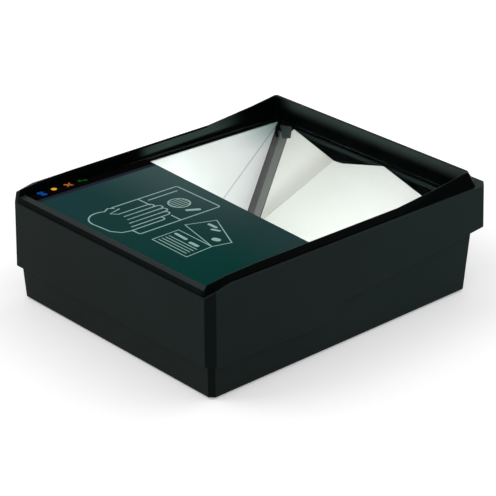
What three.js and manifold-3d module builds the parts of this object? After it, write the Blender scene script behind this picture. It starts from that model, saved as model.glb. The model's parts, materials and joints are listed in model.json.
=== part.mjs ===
// Desktop passport reader: a low black box with a glass reading window in its top.
// Millimetres, +Z up. X runs along the front, Y runs from the front to the back, and the
// origin lies on the table under the middle of the case.

import * as THREE from 'three';
import { mergeVertices } from 'three/addons/utils/BufferGeometryUtils.js';
import Module from 'manifold-3d';

const wasm = await Module();
wasm.setup();

// Case: outer sizes of the cover at its lower edge
const shellWidth = 154;
const shellDepth = 188.4;
const shellDraft = 0.5;
const shellChamfer = 4;
const shellWall = 2;
const footProud = 0.8;

// Heights above the underside of the base
const frontDeckHeight = 53.4;
const cornerDeckHeight = 56.8;
const sideDeckHeight = 58.6;
const rearDeckHeight = 56.8;
const lipHeight = 56.3;
const lipRise = 0.8;
const rimCornerHeight = 59.6;
const rimShoulderHeight = 60.7;
const rimFrontHeight = 61.2;
const rimWaistHeight = 60.4;
const rimRearHeight = 65;
const partingFrontHeight = 18.4;
const partingDipHeight = 16.8;
const partingStepHeight = 25;
const partingRearHeight = 34.3;
const glassFrontHeight = 55.7;
const glassRearHeight = 51.7;

// Where those heights change: distances from the front face, then from the rear face
const deckRise = 14;
const rimRise = 34;
const stepStart = 70;
const stepEnd = 81.6;
const waistInset = 61.4;
const rearStationInset = 28.4;
const stepShares = [0, 0.4, 0.7, 0.9, 1];

// Base tray
const baseSideInset = 3.6;
const baseFlare = 1;
const baseFrontInset = 3.7;
const baseRearInset = 11;
const baseRearFlare = 3.1;
const baseChamfer = 2.6;
const baseWall = 2.2;
const baseFloor = 2.4;
const tongueHeight = 3;
const tongueDraft = 0.2;

// Fits
const clearance = 0.3;
const sleeveGap = 0.4;
const overrun = 2;

// Cover: rear ledge, glass seat and the deck under the printed panel
const ledgeDepth = 7.7;
const wallTop = 2.6;
const frontWallTop = 2;
const seatWidth = 3;
const frontSeatWidth = 2.6;
const rearSeatWidth = 3;
const seatThickness = 2.2;
const flangeThickness = 2.2;
const ledgePocket = 3;

// Bezel frame
const bezelFoot = 1.4;
const bezelOverhang = 1.7;
const bezelFrontOverhang = 1.3;
const bezelRearOverhang = 2.6;
const bezelEdge = 0.5;
const bezelSlope = 3.6;
const bezelFrontSlope = 0.4;
const bezelRearSlope = 4.8;
const crownChamfer = 1.2;
const rimCrown = 0.7;
const rimWidth = 0.9;
const rimRearWidth = 1.2;
const rimLean = 0.9;
const lipWidth = 3.2;
const lipLean = 0.3;

// Window glass, gasket and printed panel
const glassThickness = 2;
const glassLap = 1;
const glassChamfer = 1;
const gasketThickness = 0.8;
const filmThickness = 0.5;
const bandWidth = 7.2;
const labelDepth = 82.6;
const labelSkew = 7;

// Light box: white sheets that widen from the floor up to the window
const reflectorThickness = 0.8;
const boxFloorHeight = 4.4;
const boxFloorInset = 10.5;
const boxFrontGap = 4.3;
const boxRearInset = 44.4;
const deckLap = 25;
const bracketThickness = 1.2;
const gussetWidth = 3;
const gussetInset = 10;
const gussetDepth = 13;
const ribInset = 20;
const ribWidth = 2;

// Rear panels as shares of the panel's length up the slope, and of half the window's width
const postFootShares = [-0.85, -0.712];
const postHeadShares = [-0.985, -0.834];
const postFootShare = 0.01;
const postHeadShare = 0.92;
const creamOutlineShares = [
  [-0.703, 0.02],
  [-0.29, 0.855],
  [-0.798, 0.99],
  [-0.828, 0.93],
];
const whiteOutlineShares = [
  [-0.6985, 0.01],
  [0.845, 0.01],
  [0.95, 0.76],
  [0.61, 0.876],
  [0.178, 0.99],
  [-0.2, 0.863],
  [-0.2857, 0.855],
];
const hookInset = 1.8;
const hookHeight = 5;
const hookThickness = 2;

// Mirror on the floor of the light box
const mirrorThickness = 2;
const mirrorSideInset = 8;
const mirrorEndInset = 6;
const railWidth = 2;
const railLip = 2;
const railThickness = 0.8;

// Light bars on the front reflector
const lightBarWidth = 9;
const lightBarLength = 30;
const lightBarInset = 14;
const lightBarHeight = 13;
const boardThickness = 1.6;
const lightCount = 6;
const lightSize = 2.8;
const lightHeight = 0.9;

// Camera, which looks back and down at the mirror
const cameraDepth = 13;
const cameraHeight = 31;
const cameraTilt = 35;
const cameraPlateWidth = 30;
const cameraPlate = 2;
const cameraTab = 12;
const cameraBoardSize = 24;
const cameraScrewInset = 3;
const barrelRadius = 7;
const barrelLength = 13;
const barrelBore = 5.2;
const barrelBoreDepth = 3;
const lockRingRadius = 9;
const lockRingWidth = 3;

// Main board under the printed panel
const boardInset = 23;
const boardDepth = 34;
const boardFront = 6;
const boardHeight = 8;
const boardScrewInset = 5;
const standoffRadius = 3.2;
const processorShare = 0.4;
const processorShift = 1.5;
const processorSize = 16;
const processorHeight = 1.4;
const sinkSize = 26;
const sinkBase = 2.4;
const sinkHeight = 10;
const finCount = 6;
const finThickness = 1.2;
const buzzerShare = 0.5;
const buzzerRadius = 6;
const buzzerHeight = 7;
const buzzerHole = 1.2;
const headerWidth = 14;
const headerDepth = 5;
const headerHeight = 5;

// Screws
const screwRadius = 1.2;
const screwHeadRadius = 2.6;
const screwHeadHeight = 1.6;
const screwLength = 4;
const caseScrewLength = 13;
const postRadius = 3.8;
const postInset = 17;
const postFrontDepth = 12;
const postRearGap = 8;
const bossRadius = 4.8;
const bossHeight = 8;

// Indicator lights
const guideRadius = 1.9;
const guideFirst = 12;
const guidePitch = 9.1;
const guideInset = 8.6;
const guideCount = 4;
const guideReach = 3;
const indicatorBoardWidth = 8;
const indicatorBoardLength = 41;
const indicatorLightSize = 2;
const indicatorLightHeight = 1;
const indicatorPegRadius = 1.3;

// Contactless antenna board
const antennaInset = 29;
const antennaLap = 10;
const antennaFront = 22;
const antennaPegInset = 4;

// Rear connector board and what it carries, placed as shares of half its width
const rearBoardInset = 25;
const rearBoardDepth = 12.6;
const rearPortHeight = 9.6;
const usbWidth = 12;
const usbHeight = 10.8;
const portDepth = 11.6;
const usbShell = 0.9;
const usbTongueWidth = 5.6;
const usbTongueHeight = 3.2;
const usbShare = -0.23;
const powerWidth = 9;
const powerHeight = 11;
const powerBore = 3.2;
const powerPin = 1;
const powerShare = -0.615;
const lockShare = 0.77;
const lockWidth = 7;
const lockHeight = 3;
const lockPlateWidth = 18;
const lockPlateHeight = 14;
const lockPlateThickness = 1.2;
const portCavity = 8;

// Sprung power button
const buttonShare = 0.19;
const buttonRadius = 4;
const buttonProud = 2;
const buttonTravel = 1.5;
const buttonFlange = 1.2;
const buttonFlangeThickness = 1.2;
const buttonStem = 1.6;
const switchSize = 6;
const switchDepth = 3.4;

// Ribbon cables held inside the case
const ribbonThickness = 0.6;
const cameraRibbonWidth = 12;
const ribbonLift = 1.4;
const ribbonHeight = 6;
const ribbonPlace = 20;
const ribbonWallGap = 1.2;
const rearHeaderShare = 0.8;

// Underside: feet and vents, and the tabs that hold the back shut
const footRadius = 7;
const footInset = 17;
const footEndInset = 24;
const footPostGap = 12.3;
const footRecess = 1.2;
const ventCount = 9;
const ventPitch = 6;
const ventWidth = 2.4;
const ventLength = 22;
const ventDepth = 48.2;
const tabWidth = 10;
const tabInset = 33;
const tabThickness = 1.6;
const tabReach = 4.4;

const roundSides = 24;
const smallRoundSides = 14;

// Places worked out from the sizes above
const frontY = -shellDepth / 2;
const rearY = shellDepth / 2;
const bottomZ = footProud;
const floorTopZ = bottomZ + baseFloor;
const boardZ = bottomZ + boardHeight;
const boxFloorZ = bottomZ + boxFloorHeight;
const tabX = shellWidth / 2 - tabInset;
const boardHalf = shellWidth / 2 - boardInset;
const rearBoardHalf = shellWidth / 2 - rearBoardInset;
const usbX = usbShare * rearBoardHalf;
const powerX = powerShare * rearBoardHalf;
const lockX = lockShare * rearBoardHalf;
const buttonX = buttonShare * rearBoardHalf;
const rearHeaderX = -rearHeaderShare * rearBoardHalf;

// Height at a distance d from the front, on straight runs between the points given
function ramp(points, d) {
  const next = points.findIndex(([at]) => at > d);
  if (next < 0) return points[points.length - 1][1];
  if (next === 0) return points[0][1];
  const [d0, h0] = points[next - 1];
  const [d1, h1] = points[next];
  return h0 + ((h1 - h0) * (d - d0)) / (d1 - d0);
}

const cornerRun = shellChamfer;
const deckPoints = [
  [0, frontDeckHeight],
  [cornerRun, cornerDeckHeight],
  [deckRise, sideDeckHeight],
  [shellDepth, rearDeckHeight],
];
const rimPoints = [
  [0, lipHeight],
  [cornerRun, rimCornerHeight],
  [deckRise, rimShoulderHeight],
  [rimRise, rimFrontHeight],
  [shellDepth - waistInset, rimWaistHeight],
  [shellDepth - cornerRun, rimRearHeight],
];

const deckAt = (d) => bottomZ + ramp(deckPoints, d);
const rimAt = (d) => bottomZ + ramp(rimPoints, d);
// The rim's inner edge stands above the outer one at the front and a little below it elsewhere
const rimInnerAt = (d) => rimAt(d) + ramp([[0, lipRise], [cornerRun, -rimCrown]], d);

// The cover's lower edge: nearly level, then a quarter round up, then a long rise to the back
function partingAt(d) {
  if (d <= stepStart) {
    return bottomZ + ramp([[0, partingFrontHeight], [stepStart, partingDipHeight]], d);
  }
  if (d < stepEnd) {
    const t = (d - stepStart) / (stepEnd - stepStart);
    const round = 1 - Math.sqrt(1 - t * t);
    return bottomZ + partingDipHeight + (partingStepHeight - partingDipHeight) * round;
  }
  return bottomZ + ramp([[stepEnd, partingStepHeight], [shellDepth, partingRearHeight]], d);
}

// The glass and what lies along it tilt down to the back, so these heights go by y
const glassTopAt = (y) =>
  bottomZ + glassFrontHeight + ((glassRearHeight - glassFrontHeight) * (y - frontY)) / shellDepth;
const glassBottomAt = (y) => glassTopAt(y) - glassThickness;
const seatAt = (y) => glassBottomAt(y) - gasketThickness - clearance;
const seatUnderAt = (y) => seatAt(y) - seatThickness;

const sideDistances = [
  deckRise,
  rimRise,
  ...stepShares.map((share) => stepStart + (stepEnd - stepStart) * share),
  shellDepth - waistInset,
  shellDepth - rearStationInset,
];

// A rectangle with cut corners, seen from above, with a point at every side station
function outline({ half, front, rear, chamfer }) {
  const right = [
    [half, front + chamfer],
    ...sideDistances.map((d) => [half, frontY + d]),
    [half, rear - chamfer],
  ];
  const left = right.map(([x, y]) => [-x, y]).reverse();
  return [
    [-half + chamfer, front],
    [half - chamfer, front],
    ...right,
    [half - chamfer, rear],
    [-half + chamfer, rear],
    ...left,
  ];
}

const shellPlan = { half: shellWidth / 2, front: frontY, rear: rearY, chamfer: shellChamfer };
const stationDistances = outline(shellPlan).map(([, y]) => y - frontY);

function inset(plan, side, front = side, rear = side, chamfer = plan.chamfer) {
  return {
    half: plan.half - side,
    front: plan.front + front,
    rear: plan.rear - rear,
    chamfer,
  };
}

// A loop of points round the case; heightAt gets the distance of the station and the point's y
function loop(plan, heightAt) {
  return outline(plan).map(([x, y], i) => new THREE.Vector3(x, y, heightAt(stationDistances[i], y)));
}

function signedVolume(points, faces) {
  return faces.reduce((sum, [a, b, c]) => {
    const normal = new THREE.Vector3().crossVectors(points[b], points[c]);
    return sum + points[a].dot(normal);
  }, 0);
}

function closedBody(points, faces) {
  const outward = signedVolume(points, faces) > 0;
  const geometry = new THREE.BufferGeometry();
  geometry.setFromPoints(points);
  geometry.setIndex(faces.flatMap(([a, b, c]) => (outward ? [a, b, c] : [a, c, b])));
  return geometry;
}

function bandFaces(from, to, count) {
  const faces = [];
  for (let i = 0; i < count; i += 1) {
    const j = (i + 1) % count;
    faces.push([from + i, from + j, to + j], [from + i, to + j, to + i]);
  }
  return faces;
}

// Loops joined in turn, the last one to the first: a frame with the loops as its profile
function ringBody(loops) {
  const count = loops[0].length;
  const faces = loops.flatMap((_, k) => bandFaces(k * count, ((k + 1) % loops.length) * count, count));
  return closedBody(loops.flat(), faces);
}

// Loops joined in turn and closed by a face at each end
function loftBody(loops) {
  const count = loops[0].length;
  const faces = loops.slice(1).flatMap((_, k) => bandFaces(k * count, (k + 1) * count, count));
  const flat = loops[0].map((p) => new THREE.Vector2(p.x, p.y));
  const caps = THREE.ShapeUtils.triangulateShape(flat, []);
  const last = (loops.length - 1) * count;
  caps.forEach(([a, b, c]) => faces.push([a, c, b], [last + a, last + b, last + c]));
  return closedBody(loops.flat(), faces);
}

const rectangle = ([x0, x1], [y0, y1]) => [[x0, y0], [x1, y0], [x1, y1], [x0, y1]];

// A plate of any outline between two heights that depend on y
function sheetBody(outlinePoints, lowAt, highAt) {
  const low = outlinePoints.map(([x, y]) => new THREE.Vector3(x, y, lowAt(y)));
  const high = outlinePoints.map(([x, y]) => new THREE.Vector3(x, y, highAt(y)));
  return loftBody([low, high]);
}

function block([x0, x1], [y0, y1], [z0, z1]) {
  const geometry = new THREE.BoxGeometry(x1 - x0, y1 - y0, z1 - z0);
  return geometry.translate((x0 + x1) / 2, (y0 + y1) / 2, (z0 + z1) / 2);
}

const around = (middle, width) => [middle - width / 2, middle + width / 2];
const reach = ([low, high], by) => [low - by, high + by];

function post(x, y, [z0, z1], radius, sides = roundSides) {
  const geometry = new THREE.CylinderGeometry(radius, radius, z1 - z0, sides);
  return geometry.rotateX(Math.PI / 2).translate(x, y, (z0 + z1) / 2);
}

function barrel(x, [y0, y1], z, radius, sides = roundSides) {
  const geometry = new THREE.CylinderGeometry(radius, radius, y1 - y0, sides);
  return geometry.translate(x, (y0 + y1) / 2, z);
}

const thinPost = (x, y, z, radius) => post(x, y, z, radius, smallRoundSides);
const thinBarrel = (x, y, z, radius) => barrel(x, y, z, radius, smallRoundSides);

// A profile in the YZ plane, given in turn, run along X
function sideProfile(points, [x0, x1]) {
  const shape = new THREE.Shape(points.map(([y, z]) => new THREE.Vector2(y, z)));
  const geometry = new THREE.ExtrudeGeometry(shape, { depth: x1 - x0, bevelEnabled: false });
  const turn = new THREE.Matrix4().set(0, 0, 1, x0, 1, 0, 0, 0, 0, 1, 0, 0, 0, 0, 0, 1);
  return geometry.applyMatrix4(turn);
}

function toSolid(geometry) {
  const bare = geometry.clone();
  bare.deleteAttribute('normal');
  bare.deleteAttribute('uv');
  const merged = mergeVertices(bare);
  const triVerts = new Uint32Array(merged.index.array);
  const vertProperties = new Float32Array(merged.attributes.position.array);
  return new wasm.Manifold(new wasm.Mesh({ numProp: 3, vertProperties, triVerts }));
}

function toGeometry(solid) {
  const { vertProperties, triVerts } = solid.getMesh();
  const geometry = new THREE.BufferGeometry();
  geometry.setAttribute('position', new THREE.BufferAttribute(vertProperties, 3));
  geometry.setIndex(new THREE.BufferAttribute(triVerts, 1));
  return geometry;
}

const fuse = (parts) => parts.map(toSolid).reduce((all, next) => all.add(next));
const join = (...parts) => toGeometry(fuse(parts));
const cut = (body, ...tools) => toGeometry(toSolid(body).subtract(fuse(tools)));

function finish(color, roughness, metalness = 0) {
  return new THREE.MeshStandardMaterial({ color, roughness, metalness });
}

const blackCase = () => finish(0x1f2424, 0.5);
const blackBezel = () => finish(0x1a2020, 0.35);
const whiteSheet = () => finish(0xe6ebe7, 0.6);
const board = () => finish(0x1c4a33, 0.5);
const steel = () => finish(0x9a9da0, 0.35, 1);
const darkSteel = () => finish(0x2b2d2f, 0.4, 0.9);
const blackPlastic = () => finish(0x161818, 0.5);
const rubber = () => finish(0x151515, 0.9);

const reader = new THREE.Group();

function add(name, geometry, material, parent = reader) {
  geometry.computeVertexNormals();
  const mesh = new THREE.Mesh(geometry, material);
  mesh.name = name;
  parent.add(mesh);
  return mesh;
}

// Plans of the case, one inside the other
const shellTopPlan = inset(shellPlan, shellDraft);
const wallTopPlan = inset(shellTopPlan, wallTop, frontWallTop, ledgeDepth);
const seatPlan = inset(wallTopPlan, seatWidth, frontSeatWidth, rearSeatWidth, glassChamfer);
const glassPlan = inset(seatPlan, -glassLap, -glassLap, -glassLap, glassChamfer);
const windowPlan = inset(seatPlan, sleeveGap, 0, 0);
const bezelFootPlan = inset(wallTopPlan, clearance);
const overhangPlan = inset(bezelFootPlan, -bezelOverhang, -bezelFrontOverhang, -bezelRearOverhang);
const crownPlan = inset(overhangPlan, bezelSlope, bezelFrontSlope, bezelRearSlope, crownChamfer);
const rimPlan = inset(crownPlan, rimWidth, lipWidth, rimRearWidth);
const openingPlan = inset(rimPlan, rimLean, lipLean, rimLean, glassChamfer);
const filmPlan = inset(openingPlan, 2 * clearance);
const basePlan = {
  half: shellWidth / 2 - baseSideInset,
  front: frontY + baseFrontInset,
  rear: rearY - baseRearInset,
  chamfer: baseChamfer,
};
const basePartingPlan = inset(basePlan, -baseFlare, -baseFlare, -baseRearFlare);
const baseTonguePlan = inset(basePartingPlan, tongueDraft);
const flangePlan = inset(basePartingPlan, -sleeveGap);
const baseInnerPlan = inset(basePlan, baseWall);
const baseInnerTopPlan = inset(baseTonguePlan, baseWall);

// Places of boards, screw posts and feet, shared by several pieces
const mainBoardX = around(0, 2 * boardHalf);
const mainBoardY = [basePlan.front + boardFront, basePlan.front + boardFront + boardDepth];
const boxFrontY = mainBoardY[1] + boxFrontGap;
const deckRearY = boxFrontY + deckLap;
const postX = shellWidth / 2 - postInset;
const mirrored = (x, ys) => ys.flatMap((y) => [[-x, y], [x, y]]);
const postRearY = boxFrontY - postRearGap;
const postPlaces = mirrored(postX, [frontY + postFrontDepth, postRearY]);
const footX = basePlan.half - footInset;
const footPlaces = mirrored(footX, [postRearY - footPostGap, basePlan.rear - footEndInset]);
const mainBoardScrews = mainBoardY.flatMap((y, k) => {
  const inward = k === 0 ? boardScrewInset : -boardScrewInset;
  return mainBoardX.map((x) => [x - Math.sign(x) * boardScrewInset, y + inward]);
});
const rearBoardY = [basePlan.rear - baseWall - rearBoardDepth, basePlan.rear - baseWall - clearance];
const rearBoardX = around(0, 2 * rearBoardHalf);
const rearBoardMiddleY = (rearBoardY[0] + rearBoardY[1]) / 2;
const portZ = bottomZ + rearPortHeight;
const rearBoardZ = portZ - boardThickness;
const rearBoardScrews = rearBoardX.map((x) => [x - Math.sign(x) * boardScrewInset, rearBoardMiddleY]);
const portFaceY = basePlan.rear + clearance;
const portMiddleZ = portZ + usbHeight / 2;
const guidePlaces = Array.from({ length: guideCount }, (_, k) => [
  guideInset - shellWidth / 2,
  frontY + guideFirst + k * guidePitch,
]);
// The printed panel's rear edge runs a little askew: deeper at the left
const labelRearAt = (x) =>
  frontY + labelDepth - (labelSkew * (windowPlan.half + x)) / (2 * windowPlan.half);

// The cover is a frame: outer wall, glass seat and lower flange, with a deck, posts and tabs
function topCover() {
  const pocketPlan = inset(shellTopPlan, shellWall);
  const frame = ringBody([
    loop(shellPlan, partingAt),
    loop(shellTopPlan, deckAt),
    loop(wallTopPlan, deckAt),
    loop(wallTopPlan, (_, y) => seatAt(y)),
    loop(seatPlan, (_, y) => seatAt(y)),
    loop(seatPlan, (_, y) => seatUnderAt(y)),
    loop(inset(pocketPlan, -clearance, -clearance, 0), (_, y) => seatUnderAt(y)),
    loop(inset(shellPlan, shellWall), (d) => partingAt(d) + flangeThickness),
    loop(flangePlan, (d) => partingAt(d) + flangeThickness),
    loop(flangePlan, partingAt),
  ]);
  const lap = seatThickness;
  const deckEdge = rectangle(around(0, 2 * (seatPlan.half + lap)), [seatPlan.front - lap, deckRearY]);
  const deck = sheetBody(deckEdge, (y) => seatUnderAt(y) + clearance, (y) => seatAt(y) - clearance);
  const rootAt = (y) => seatAt(y) - lap / 2;
  const postLow = bottomZ + bossHeight + clearance;
  const posts = postPlaces.map(([x, y]) => post(x, y, [postLow, rootAt(y)], postRadius));
  const pegLow = indicatorBoardZ() + clearance + boardThickness;
  const pegs = indicatorPegs().map(([x, y]) =>
    thinPost(x, y, [pegLow, rootAt(y)], indicatorPegRadius));
  const antennaPegs = antennaPegPlaces().map(([x, y]) =>
    thinPost(x, y, [seatUnderAt(y) - clearance - boardThickness, rootAt(y)], screwRadius));
  const tabs = [-tabX, tabX].map((x) => rearTab(x));
  const pocketY = [pocketPlan.rear - ledgePocket, pocketPlan.rear - clearance];
  const pocket = block(
    around(0, 2 * (seatPlan.half - shellChamfer)),
    pocketY,
    [seatUnderAt(rearY) - overrun, deckAt(shellDepth) - seatThickness],
  );
  const pilotZ = reach([bottomZ + bossHeight, bottomZ + caseScrewLength], overrun);
  const guideHoles = guidePlaces.map(([x, y]) =>
    thinPost(x, y, reach([seatUnderAt(y), seatAt(y)], overrun), guideRadius + clearance));
  const body = join(frame, deck, ...posts, ...pegs, ...antennaPegs, ...tabs);
  return cut(body, pocket, ...screwHoles(postPlaces, pilotZ), ...guideHoles);
}

// Tabs under the rear flange reach into slots of the base and hold the back of the case shut
function tabHeights() {
  const low = partingAt(shellDepth) + flangeThickness - tabThickness - clearance;
  return [low, low + tabThickness];
}

function rearTab(x) {
  const y1 = flangePlan.rear + overrun;
  return block(around(x, tabWidth), [flangePlan.rear - tabReach, y1], tabHeights());
}

// The bezel frame stands in the cover beside the glass and laps over both
function bezelFrame() {
  const frontRelief = seatWidth - frontSeatWidth;
  const innerPlan = inset(bezelFootPlan, bezelFoot, bezelFoot - frontRelief, bezelFoot, glassChamfer);
  return ringBody([
    loop(bezelFootPlan, (_, y) => seatAt(y) + clearance),
    loop(bezelFootPlan, (d) => deckAt(d) + clearance),
    loop(overhangPlan, (d) => deckAt(d) + clearance),
    loop(overhangPlan, (d) => deckAt(d) + clearance + bezelEdge),
    loop(crownPlan, rimAt),
    loop(rimPlan, rimInnerAt),
    loop(openingPlan, (_, y) => glassTopAt(y) + clearance),
    loop(innerPlan, (_, y) => glassTopAt(y) + clearance),
    loop(innerPlan, (_, y) => seatAt(y) + clearance),
  ]);
}

function windowGlass() {
  return loftBody([
    loop(glassPlan, (_, y) => glassBottomAt(y)),
    loop(glassPlan, (_, y) => glassTopAt(y)),
  ]);
}

function glassGasket() {
  const low = (_, y) => seatAt(y) + clearance / 2;
  const high = (_, y) => glassBottomAt(y) - clearance / 2;
  return ringBody([
    loop(glassPlan, low),
    loop(glassPlan, high),
    loop(seatPlan, high),
    loop(seatPlan, low),
  ]);
}

// Printed films on the front of the glass: a narrow smoked band and a wide coloured panel
const bandRightX = bandWidth - filmPlan.half;

function filmBody(xLeft, xRight) {
  const edge = [
    [xLeft, filmPlan.front],
    [xRight, filmPlan.front],
    [xRight, labelRearAt(xRight)],
    [xLeft, labelRearAt(xLeft)],
  ];
  return sheetBody(edge, (y) => glassTopAt(y) + clearance / 2, (y) => glassTopAt(y) + filmThickness);
}

function indicatorBoardZ() {
  const y = guidePlaces[0][1];
  return seatUnderAt(y) - guideReach - boardThickness - indicatorLightHeight;
}

function indicatorBoard() {
  const x = guidePlaces[0][0];
  const top = indicatorBoardZ() + boardThickness;
  const plate = block(around(x, indicatorBoardWidth), indicatorBoardY(), [indicatorBoardZ(), top]);
  const lightZ = [top - boardThickness / 2, top + indicatorLightHeight];
  const lights = guidePlaces.map(([, y]) =>
    block(around(x, indicatorLightSize), around(y, indicatorLightSize), lightZ));
  const holes = screwHoles(indicatorPegs(), reach([indicatorBoardZ(), top], overrun));
  return cut(join(plate, ...lights), ...holes);
}

function indicatorBoardY() {
  const middle = (guidePlaces[0][1] + guidePlaces[guideCount - 1][1]) / 2;
  return around(middle, indicatorBoardLength);
}

function indicatorPegs() {
  const inward = 2 * indicatorPegRadius;
  return indicatorBoardY().map((y, k) => [guidePlaces[0][0], y + (k === 0 ? inward : -inward)]);
}

const antennaWidth = shellWidth - 2 * antennaInset;

function antennaY() {
  return [frontY + antennaFront, boxFrontY + antennaLap];
}

function antennaPegPlaces() {
  return antennaY().flatMap((y, k) => {
    const inward = k === 0 ? antennaPegInset : -antennaPegInset;
    return around(0, antennaWidth - 2 * antennaPegInset).map((x) => [x, y + inward]);
  });
}

// Antenna board hung under the deck
function antennaBoard() {
  const highAt = (y) => seatUnderAt(y) - clearance;
  const lowAt = (y) => highAt(y) - boardThickness;
  const plate = sheetBody(rectangle(around(0, antennaWidth), antennaY()), lowAt, highAt);
  const holes = antennaPegPlaces().map(([x, y]) =>
    thinPost(x, y, reach([lowAt(y), highAt(y)], overrun), screwRadius + clearance));
  return cut(plate, ...holes);
}

// One screw seen from below: a round head and a plain shank above it
function screwUp(x, y, headZ, length) {
  const shankZ = headZ + screwHeadHeight;
  const head = thinPost(x, y, [headZ, shankZ], screwHeadRadius);
  const shank = thinPost(x, y, [shankZ, shankZ + length], screwRadius);
  return join(head, shank);
}

function screwDown(x, y, seatZ, length) {
  const head = thinPost(x, y, [seatZ, seatZ + screwHeadHeight], screwHeadRadius);
  const shank = thinPost(x, y, [seatZ - length, seatZ], screwRadius);
  return join(head, shank);
}

const screwHoles = (places, zRange) =>
  places.map(([x, y]) => thinPost(x, y, zRange, screwRadius + clearance));

// Base tray with ribs, bosses, ports and recesses
function baseTray() {
  const outer = loftBody([
    loop(basePlan, () => bottomZ),
    loop(basePartingPlan, partingAt),
    loop(baseTonguePlan, (d) => partingAt(d) + tongueHeight),
  ]);
  const hollow = loftBody([
    loop(baseInnerPlan, () => floorTopZ),
    loop(baseInnerTopPlan, partingAt),
    loop(baseInnerTopPlan, (d) => partingAt(d) + tongueHeight + overrun),
  ]);
  const shell = cut(outer, hollow);
  const fromFloor = (top) => [floorTopZ - baseFloor / 2, top];
  const bosses = postPlaces.map(([x, y]) => post(x, y, fromFloor(bottomZ + bossHeight), bossRadius));
  const standoffs = mainBoardScrews.map(([x, y]) => post(x, y, fromFloor(boardZ), standoffRadius));
  const rearStandoffs = rearBoardScrews.map(([x, y]) =>
    post(x, y, fromFloor(rearBoardZ), standoffRadius));
  const ribY = [boxFrontY, boxRearY - baseFloor];
  const ribX = boxFootHalf - ribInset;
  const ribs = [-ribX, 0, ribX].map((x) =>
    block(around(x, ribWidth), ribY, fromFloor(boxFloorZ - reflectorThickness)));
  const gussetX = boxFootHalf - gussetInset;
  const gussets = [-gussetX, 0, gussetX].map(gusset);
  const body = join(shell, ...bosses, ...standoffs, ...rearStandoffs, ...ribs, ...gussets);
  return cut(body, ...baseCuts());
}

function baseCuts() {
  const through = reach([bottomZ, bottomZ + bossHeight], overrun);
  const headPocket = [bottomZ - overrun, bottomZ + screwHeadHeight + clearance];
  const screwCounterbores = postPlaces.map(([x, y]) =>
    post(x, y, headPocket, screwHeadRadius + clearance));
  const footRecesses = footPlaces.map(([x, y]) =>
    post(x, y, [bottomZ - overrun, bottomZ + footRecess], footRadius + clearance));
  const pilotDepth = screwLength + clearance - boardThickness;
  const pilots = screwHoles(mainBoardScrews, [boardZ - pilotDepth, boardZ + overrun]);
  const rearPilots = screwHoles(rearBoardScrews, [rearBoardZ - pilotDepth, rearBoardZ + overrun]);
  const wallY = [rearBoardY[1], basePlan.rear + baseRearFlare + overrun];
  const usbHole = block(
    around(usbX, usbWidth + 2 * clearance),
    wallY,
    around(portMiddleZ, usbHeight + 2 * clearance),
  );
  const powerHole = block(
    around(powerX, powerWidth + 2 * clearance),
    wallY,
    reach([portZ, portZ + powerHeight], clearance),
  );
  const lockHole = block(around(lockX, lockWidth), wallY, around(portMiddleZ, lockHeight));
  const buttonHole = barrel(buttonX, wallY, portMiddleZ, buttonRadius + clearance);
  const tabY = [baseInnerTopPlan.rear - overrun, baseTonguePlan.rear + overrun];
  const tabSlots = [-tabX, tabX].map((x) =>
    block(around(x, tabWidth + 2 * clearance), tabY, reach(tabHeights(), clearance)));
  return [
    ...screwHoles(postPlaces, through),
    ...screwCounterbores,
    ...footRecesses,
    ...pilots,
    ...rearPilots,
    usbHole,
    powerHole,
    lockHole,
    buttonHole,
    ...tabSlots,
    ...vents(),
  ];
}

function vents() {
  const ventY = around(frontY + ventDepth, ventLength);
  return Array.from({ length: ventCount }, (_, k) => {
    const x = (k - (ventCount - 1) / 2) * ventPitch;
    return block(around(x, ventWidth), ventY, reach([bottomZ, floorTopZ], overrun));
  });
}

// White walls of the light box. The rear wall leans back from the floor to the window's edge.
const boxRearY = rearY - boxRearInset;
const boxFootZ = boxFloorZ + clearance;
const boxFootHalf = windowPlan.half - boxFloorInset;
const boxHeadHalf = seatPlan.half - clearance - reflectorThickness;
const boxHeadY = seatPlan.rear - clearance;
const boxHeadZ = glassBottomAt(boxHeadY) - clearance;
const rearLean = Math.atan2(boxHeadY - boxRearY, boxHeadZ - boxFootZ);
const rearLength = Math.hypot(boxHeadY - boxRearY, boxHeadZ - boxFootZ);
const acrossLean = (size) => size / Math.cos(rearLean);

// A four-sided body between a low and a high rectangle
function taper(low, high) {
  const corners = ({ x, y, z }) => rectangle(x, y).map((place) => new THREE.Vector3(...place, z));
  return loftBody([corners(low), corners(high)]);
}

function underDeck(body, drop = 0) {
  const low = seatUnderAt(deckRearY) - clearance - drop;
  const room = [frontY, deckRearY + clearance];
  return cut(body, block(around(0, shellWidth), room, [low, glassTopAt(frontY)]));
}

// The side walls reach up to the glass, so their upper edges follow its slope
function sideReflector(side) {
  const wall = (half) => [side * half, side * (half + reflectorThickness)].sort((a, b) => a - b);
  const gap = acrossLean(clearance);
  const topAt = (y) => glassBottomAt(y) - clearance;
  const headZ = topAt(boxFrontY);
  const headY = boxHeadY + (headZ - boxHeadZ) * Math.tan(rearLean);
  const body = taper(
    { x: wall(boxFootHalf), y: [boxFrontY, boxRearY - gap], z: boxFootZ },
    { x: wall(boxHeadHalf), y: [boxFrontY, headY - gap], z: headZ },
  );
  const above = rectangle(around(0, shellWidth), reach([boxFrontY, rearY], overrun));
  return underDeck(cut(body, sheetBody(above, topAt, () => headZ + overrun)));
}

function floorReflector() {
  return block(
    around(0, 2 * (boxFootHalf + reflectorThickness)),
    [boxFrontY, boxRearY - clearance],
    [boxFloorZ - reflectorThickness, boxFloorZ],
  );
}

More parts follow.
